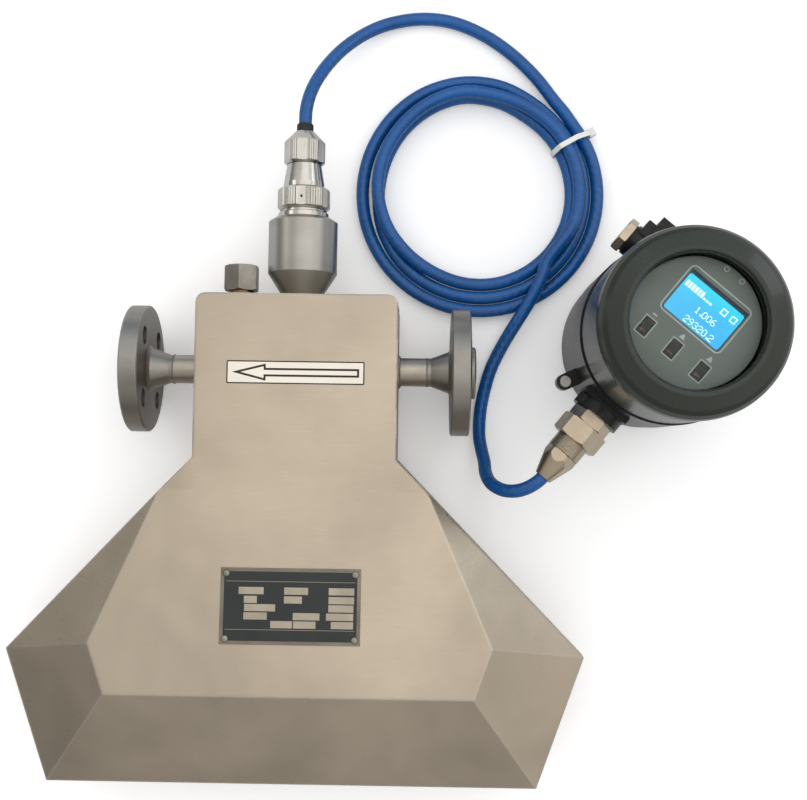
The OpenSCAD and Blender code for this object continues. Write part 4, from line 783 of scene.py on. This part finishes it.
def placeScreen():
    width, height = display["window"]
    screen = display["screen"]
    bm = bmesh.new()
    (sideIn, endIn), spot = display["screenIn"], (0, display["up"] - display["screenDown"])
    lit = roundedBox(width - sideIn, height - endIn, display["screenCorner"], spot)
    raisePlate(bm, lit, onDial, screen + 0.02, screen + 0.12)
    addPrint(bm, "litScreen", "display_blue", lcdFinish())
    bm = bmesh.new()

    def square(x, y, w, h):
        raisePlate(bm, [(x, y), (x + w, y), (x + w, y + h), (x, y + h)], onDial, screen + 0.1, screen + 0.16)

    for text, right, low in display["readings"]:
        step = display["tall"] * display["dot"]
        x = right
        for letter in reversed(text):
            columns, spaced = (3, 3) if letter == "." else (5, 6)
            x -= spaced * step
            for r, line in enumerate(digitRows[letter].split()):
                for c in range(columns):
                    if line[c] == "1":
                        square(x + c * step, low + (6 - r) * step * 1.12, step * 0.86, step * 0.96)
    bars, marks = display["bars"], display["marks"]
    for i, tall in enumerate(bars["heights"]):
        square(bars["left"] + i * bars["pitch"], bars["low"], bars["wide"], tall)
    wide, line, low = marks["wide"], marks["line"], marks["low"]
    for x in marks["at"]:
        square(x, low, wide, line)
        square(x, low + marks["high"], wide, line)
        square(x, low + line, line, marks["side"])
        square(x + wide - line, low + line, line, marks["side"])
    dots = printedFinish("litDots", *display["digitTones"], display["digitGlow"])
    addPrint(bm, "screenDigits", "display_blue", dots)


def printFace():
    pale = printedFinish("palePrint", *display["printTones"])
    width, height = display["window"]
    bm = bmesh.new()
    top, line = display["top"], display["line"]
    low = top - 0.01      # prints start just inside the face, so that none floats
    spot = (0, display["up"] + display["borderUp"])
    outer, inner = (roundedBox(width + w, height + h, r, spot) for w, h, r in display["border"])
    raisePlate(bm, outer, onDial, low, top + 0.12, inner)
    keyW, keyH = display["key"]
    for i in (-1, 0, 1):
        x, y = i * display["keyPitch"], -display["keyDown"]
        raisePlate(bm, roundedBox(keyW + 2 * line, keyH + 2 * line, 0.4, (x, y), 2), onDial, low, top + 0.08,
                   roundedBox(keyW, keyH, 0.2, (x, y), 2))
    half, foot, tip = display["arrow"]
    for x in (0, display["keyPitch"]):
        raisePlate(bm, [(x - half, foot), (x + half, foot), (x, tip)], onDial, low, top + 0.06)
    wide, tall, y = display["bar"]
    raisePlate(bm, roundedBox(wide, tall, 0.3, (-display["keyPitch"], y), 2), onDial, low, top + 0.04)
    ringX, ringY = display["rings"]
    for sx in (-1, 1):
        outer, inner = ([(sx * ringX + u, ringY + v) for u, v in (onCircle(r, k, 24) for k in range(24))]
                        for r in display["ring"])
        raisePlate(bm, outer, onDial, low, top + 0.05, inner)
    addPrint(bm, "facePrint", "faceplate_grey", pale)


def domeKeys():
    bm = bmesh.new()
    count = display["lensSides"]
    for i in (-1, 0, 1):
        for dx, radius in display["lenses"]:
            centre = onDial(i * display["keyPitch"] + dx, -display["keyDown"] - display["lensDown"],
                            display["top"] - 0.4)
            rings = []
            for a in range(5):
                turn = math.radians(a * 20)
                lift, reach = math.sin(turn) * radius / 1000, math.cos(turn) * radius / 1000
                spots = [onCircle(reach, k, count) for k in range(count)]
                rings.append([bm.verts.new(centre + Vector((u, v, lift * 0.3))) for u, v in spots])
            for a in range(4):
                for k in range(count):
                    n = (k + 1) % count
                    bm.faces.new((rings[a][k], rings[a][n], rings[a + 1][n], rings[a + 1][k]))
            bm.faces.new(rings[4])
            bm.faces.new(list(reversed(rings[0])))
    brown = finish("lensBrown", *display["lensTones"], rough=(0.12, 0.2), drift=90, edge=0)
    addPiece("keyLenses", meshFrom(bm, "keyLenses"), "key_dark", look=brown, smooth=60)


placeScreen()
printFace()
domeKeys()
print("display is dressed")

# label and nameplate

label = {
    "size": (100, 17), "top": 0.4, "line": 0.95, "inset": 0.1, "tip": -46, "head": -21.5, "halfHead": 6.2,
    "halfShaft": 3.1, "tail": 46, "arrowLine": 1.5, "tones": ("1D1916", "27221E"),
}
plate = {
    "size": (100, 54), "top": 1.0, "margin": 2.3, "corner": 3.9, "screwIn": 2.6,
    "boxes": [[(275, 505), (695, 915), (1105, 1340)], [(325, 445), (695, 860), (1105, 1340)],
              [(330, 615), (1105, 1335)], [(325, 540), (780, 1025), (1085, 1335)],
              [(575, 775), (785, 990), (1130, 1335)]],
    "rowTops": (350, 432, 508, 585, 662), "rowHeight": 66,
    "middle": (752.5, 527.5), "perMm": (12.95, 13.2),      # boxes and rows are in finer units than millimetres
    "rules": (17.3, -16.6), "rule": (46, 0.25),
    "fieldTones": ("1B2122", "23292A"), "boxTones": ("B5AB9A", "A79D8C"),
}


def inward(points, d):
    made, count = [], len(points)
    for i, (x, y) in enumerate(points):
        (ax, ay), (bx, by) = points[i - 1], points[(i + 1) % count]
        first, second = Vector((x - ax, y - ay)).normalized(), Vector((bx - x, by - y)).normalized()
        n1, n2 = Vector((-first.y, first.x)), Vector((-second.y, second.x))
        corner = (n1 + n2) / (1 + n1.dot(n2))
        made.append((x + d * corner.x, y + d * corner.y))
    return made


def printLabel():
    w, h = label["size"]
    ink = printedFinish("labelInk", *label["tones"])
    bm = bmesh.new()
    i, z = label["inset"], label["top"]
    edge = roundedBox(w - 2 * i, h - 2 * i, 0.8, steps=3)
    inside = 2 * i + 2 * label["line"]
    raisePlate(bm, edge, onLabel, z - 0.01, z + 0.05, roundedBox(w - inside, h - inside, 0.4, steps=3))
    head, wide, thin, tail = label["head"], label["halfHead"], label["halfShaft"], label["tail"]
    arrow = [(label["tip"], 0), (head, -wide), (head, -thin), (tail, -thin), (tail, thin), (head, thin), (head, wide)]
    raisePlate(bm, arrow, onLabel, z - 0.01, z + 0.05, inward(arrow, label["arrowLine"]))
    addPrint(bm, "labelPrint", "label_film", ink)


def printPlate():
    w, h = plate["size"]
    m, r, z = plate["margin"], plate["corner"], plate["top"]
    field = finish("plateField", *plate["fieldTones"], rough=(0.3, 0.42), drift=40, depth=0.000008, edge=0)
    outline = []      # the black field keeps clear of the four screws
    for sx, sy, start in ((1, 1, 270), (-1, 1, 0), (-1, -1, 90), (1, -1, 180)):
        centre = (sx * (w / 2 - plate["screwIn"]), sy * (h / 2 - plate["screwIn"]))
        for k in range(9):
            a = math.radians(start - 90 * k / 8)
            x, y = centre[0] + r * math.cos(a), centre[1] + r * math.sin(a)
            outline.append((max(-w / 2 + m, min(w / 2 - m, x)), max(-h / 2 + m, min(h / 2 - m, y))))
    bm = bmesh.new()
    raisePlate(bm, outline, onPlate, z - 0.02, z + 0.06)
    addPrint(bm, "plateField", "plate_black", field)
    bm = bmesh.new()
    (midX, midY), (perX, perY) = plate["middle"], plate["perMm"]
    for row, high in zip(plate["boxes"], plate["rowTops"]):
        low, up = (midY - high - plate["rowHeight"]) / perY, (midY - high) / perY
        for edges in row:
            left, right = ((x - midX) / perX for x in edges)
            raisePlate(bm, [(left, low), (right, low), (right, up), (left, up)], onPlate, z + 0.04, z + 0.1)
    half, tall = plate["rule"]
    for y in plate["rules"]:      # plain rules above and below the blank fields
        raisePlate(bm, [(-half, y), (half, y), (half, y + tall), (-half, y + tall)], onPlate, z + 0.04, z + 0.08)
    blanks = finish("plateBoxes", *plate["boxTones"], metal=0.6, rough=(0.35, 0.45), stretch=(0.1, 1, 1),
        depth=0.00001, edge=0)
    addPrint(bm, "plateBoxes", "plate_black", blanks)


printLabel()
printPlate()
print("label and nameplate are dressed")

# welds, a thread and a painted dot

weld = {
    "width": 3.0, "pitch": 1.25, "seed": 7, "pipeAt": 73.9, "pipe": 11, "branches": ((-46, 10.2), (0, 14.2)),
    "branchY": 53.6, "hubWidth": 1.3, "hubAt": 95, "hub": 10.6, "tones": ("A8A095", "8E857A"),
}


def treeWith(name, inputs):
    tree = bpy.data.node_groups.new(name, "GeometryNodeTree")
    socket(tree, "Geometry", "Geometry")
    for label, kind, value in inputs:
        socket(tree, label, kind, False, value)
    socket(tree, "Geometry", "Geometry", True)
    return tree, tree.nodes.new("NodeGroupInput"), tree.nodes.new("NodeGroupOutput")


def growAlong(tree, fromOut, toOut, shape, scale):
    link = tree.links.new
    curve, even, spread = newNodes(
        tree, "GeometryNodeMeshToCurve", "GeometryNodeResampleCurve", "GeometryNodeInstanceOnPoints")
    tangent, aim = newNodes(tree, "GeometryNodeInputTangent", "FunctionNodeAlignRotationToVector")
    real, paint = newNodes(tree, "GeometryNodeRealizeInstances", "GeometryNodeSetMaterial")
    even.mode, aim.axis = "LENGTH", "Z"
    link(fromOut.outputs["Geometry"], curve.inputs[0])
    link(curve.outputs[0], even.inputs["Curve"])
    link(fromOut.outputs["Pitch"], even.inputs["Length"])
    link(even.outputs[0], spread.inputs["Points"])
    link(shape, spread.inputs["Instance"])
    link(tangent.outputs[0], aim.inputs["Vector"])
    link(aim.outputs[0], spread.inputs["Rotation"])
    if scale:
        link(scale, spread.inputs["Scale"])
    link(spread.outputs[0], real.inputs[0])
    link(real.outputs[0], paint.inputs["Geometry"])
    link(fromOut.outputs["Material"], paint.inputs["Material"])
    link(paint.outputs[0], toOut.inputs[0])


# overlapping flat beads, as a weld leaves them
weldRipples, fromOut, toOut = treeWith("weldRipples", [
    ("Width", "Float", 0.002), ("Pitch", "Float", 0.001), ("Seed", "Int", 1), ("Material", "Material", None)])
ball, half, vary, thin = newNodes(
    weldRipples, "GeometryNodeMeshUVSphere", "ShaderNodeMath", "FunctionNodeRandomValue", "ShaderNodeVectorMath")
link = weldRipples.links.new
ball.inputs["Segments"].default_value, ball.inputs["Rings"].default_value = 10, 6
half.operation, half.inputs[1].default_value = "MULTIPLY", 0.5
vary.data_type = "FLOAT"
vary.inputs[2].default_value, vary.inputs[3].default_value = 0.88, 1.1
thin.operation, thin.inputs[0].default_value = "SCALE", (1, 1, 0.75)
link(fromOut.outputs["Width"], half.inputs[0])
link(half.outputs[0], ball.inputs["Radius"])
link(fromOut.outputs["Seed"], vary.inputs["Seed"])
link(vary.outputs[1], thin.inputs["Scale"])
growAlong(weldRipples, fromOut, toOut, ball.outputs[0], thin.outputs[0])

# ridges of a fine thread
threadRidges, fromOut, toOut = treeWith("threadRidges", [
    ("Radius", "Float", 0.012), ("Ridge", "Float", 0.0004), ("Pitch", "Float", 0.001),
    ("Material", "Material", None)])
ring, section, sweep = newNodes(
    threadRidges, "GeometryNodeCurvePrimitiveCircle", "GeometryNodeCurvePrimitiveCircle", "GeometryNodeCurveToMesh")
link = threadRidges.links.new
ring.inputs["Resolution"].default_value, section.inputs["Resolution"].default_value = 48, 4
link(fromOut.outputs["Radius"], ring.inputs["Radius"])
link(fromOut.outputs["Ridge"], section.inputs["Radius"])
link(ring.outputs[0], sweep.inputs["Curve"])
link(section.outputs[0], sweep.inputs["Profile Curve"])
growAlong(threadRidges, fromOut, toOut, sweep.outputs[0], None)


def grow(name, paths, tree, values, slotName, body="root", smooth=50):
    mesh = bpy.data.meshes.new(name + "Path")
    points, edges = [], []
    for path, closed in paths:
        start = len(points)
        points += [tuple(p) for p in path]
        edges += [(start + i, start + i + 1) for i in range(len(path) - 1)]
        if closed:
            edges.append((start + len(path) - 1, start))
    mesh.from_pydata(points, edges, [])
    source = bpy.data.objects.new(name + "Path", mesh)
    scene.collection.objects.link(source)
    modifier = source.modifiers.new("grow", "NODES")
    modifier.node_group = tree
    for item in tree.interface.items_tree:
        if item.item_type == "SOCKET" and item.in_out == "INPUT" and item.name in values:
            modifier[item.identifier] = values[item.name]
    grown = source.evaluated_get(bpy.context.evaluated_depsgraph_get())
    made = bpy.data.meshes.new_from_object(grown)
    made.name = name
    source.modifiers.clear()
    bpy.data.objects.remove(source)
    return addPiece(name, made, slotName, body, smooth=smooth)


def circleX(x, radius, count=64):
    spots = [onCircle(radius / 1000, k, count) for k in range(count)]
    return [Vector((middle + x / 1000, u, v)) for u, v in spots]


def circleY(x, y, radius, count=64):
    spots = [onCircle(radius / 1000, k, count) for k in range(count)]
    return [Vector((middle + x / 1000 + u, y / 1000, v)) for u, v in spots]


seam = {
    "width": 1.7, "pitch": 1.5, "corner": (66.5, 46.5, 7), "sides": [(73.5, -66), (213.5, -209), (178.5, -303)],
    "inside": 0.35,
}


def casingOutline():
    cornerX, cornerY, r = seam["corner"]
    turns = [math.radians(a) for a in range(90, -1, -15)]
    right = [(cornerX + r * math.cos(a), cornerY + r * math.sin(a)) for a in turns] + seam["sides"]
    left = [(-x, y) for x, y in right]
    outline = inward(left + right[::-1], seam["inside"])
    return [Vector((middle + x / 1000, y / 1000, 0)) for x, y in reversed(outline)]


steelWeld = finish("weldSteel", *weld["tones"], metal=1.0, drift=200, grain=1200, depth=0.00002, edge=0)
values = {"Width": weld["width"] / 1000, "Pitch": weld["pitch"] / 1000, "Seed": weld["seed"], "Material": steelWeld}
rings = [(circleX(x, weld["pipe"]), True) for x in (weld["pipeAt"], -weld["pipeAt"])]
rings += [(circleY(x, weld["branchY"], radius), True) for x, radius in weld["branches"]]
pipeWelds = grow("pipeWelds", rings, weldRipples, values, "spool_steel")
values.update(Width=weld["hubWidth"] / 1000)
hubs = [(circleX(x, weld["hub"]), True) for x in (weld["hubAt"], -weld["hubAt"])]
hubWelds = grow("hubWelds", hubs, weldRipples, values, "spool_steel")
values.update(Width=seam["width"] / 1000, Pitch=seam["pitch"] / 1000)
seamWeld = grow("seamWeld", [(casingOutline(), True)], weldRipples, values, "casing_steel")
for piece in (pipeWelds, hubWelds, seamWeld):
    piece.data.materials[0] = steelWeld


thread = {"radius": 12.45, "ridge": 0.42, "pitch": 1.05, "from": 98.6, "to": 108.8}
threadPath = [onDial(0, -thread[end], cable["entryHeight"]) for end in ("from", "to")]
values = {"Radius": thread["radius"] / 1000, "Ridge": thread["ridge"] / 1000, "Pitch": thread["pitch"] / 1000,
          "Material": finishes["gland_nickel"]}
grow("glandThread", [(threadPath, False)], threadRidges, values, "gland_nickel", smooth=0)


dot = {
    "at": (middle, 0.1290, 0.01995), "radius": (0.0009, 0.0006), "lift": 0.00004, "sides": 20,
    "tones": ("141414", "1C1B1A"),
}


def paintDot():
    bm = bmesh.new()
    count, centre = dot["sides"], Vector(dot["at"])
    outer, inner = ([bm.verts.new(centre + Vector((*onCircle(r, k, count), lift))) for k in range(count)]
                    for r, lift in zip(dot["radius"], (0, dot["lift"])))
    for k in range(count):
        bm.faces.new((outer[k], outer[(k + 1) % count], inner[(k + 1) % count], inner[k]))
    bm.faces.new(inner)
    bm.faces.new(list(reversed(outer)))
    addPrint(bm, "alignmentDot", "nickel_plate", printedFinish("alignmentPaint", *dot["tones"]), "coupling_nut")


paintDot()
print("welds and threads are grown")
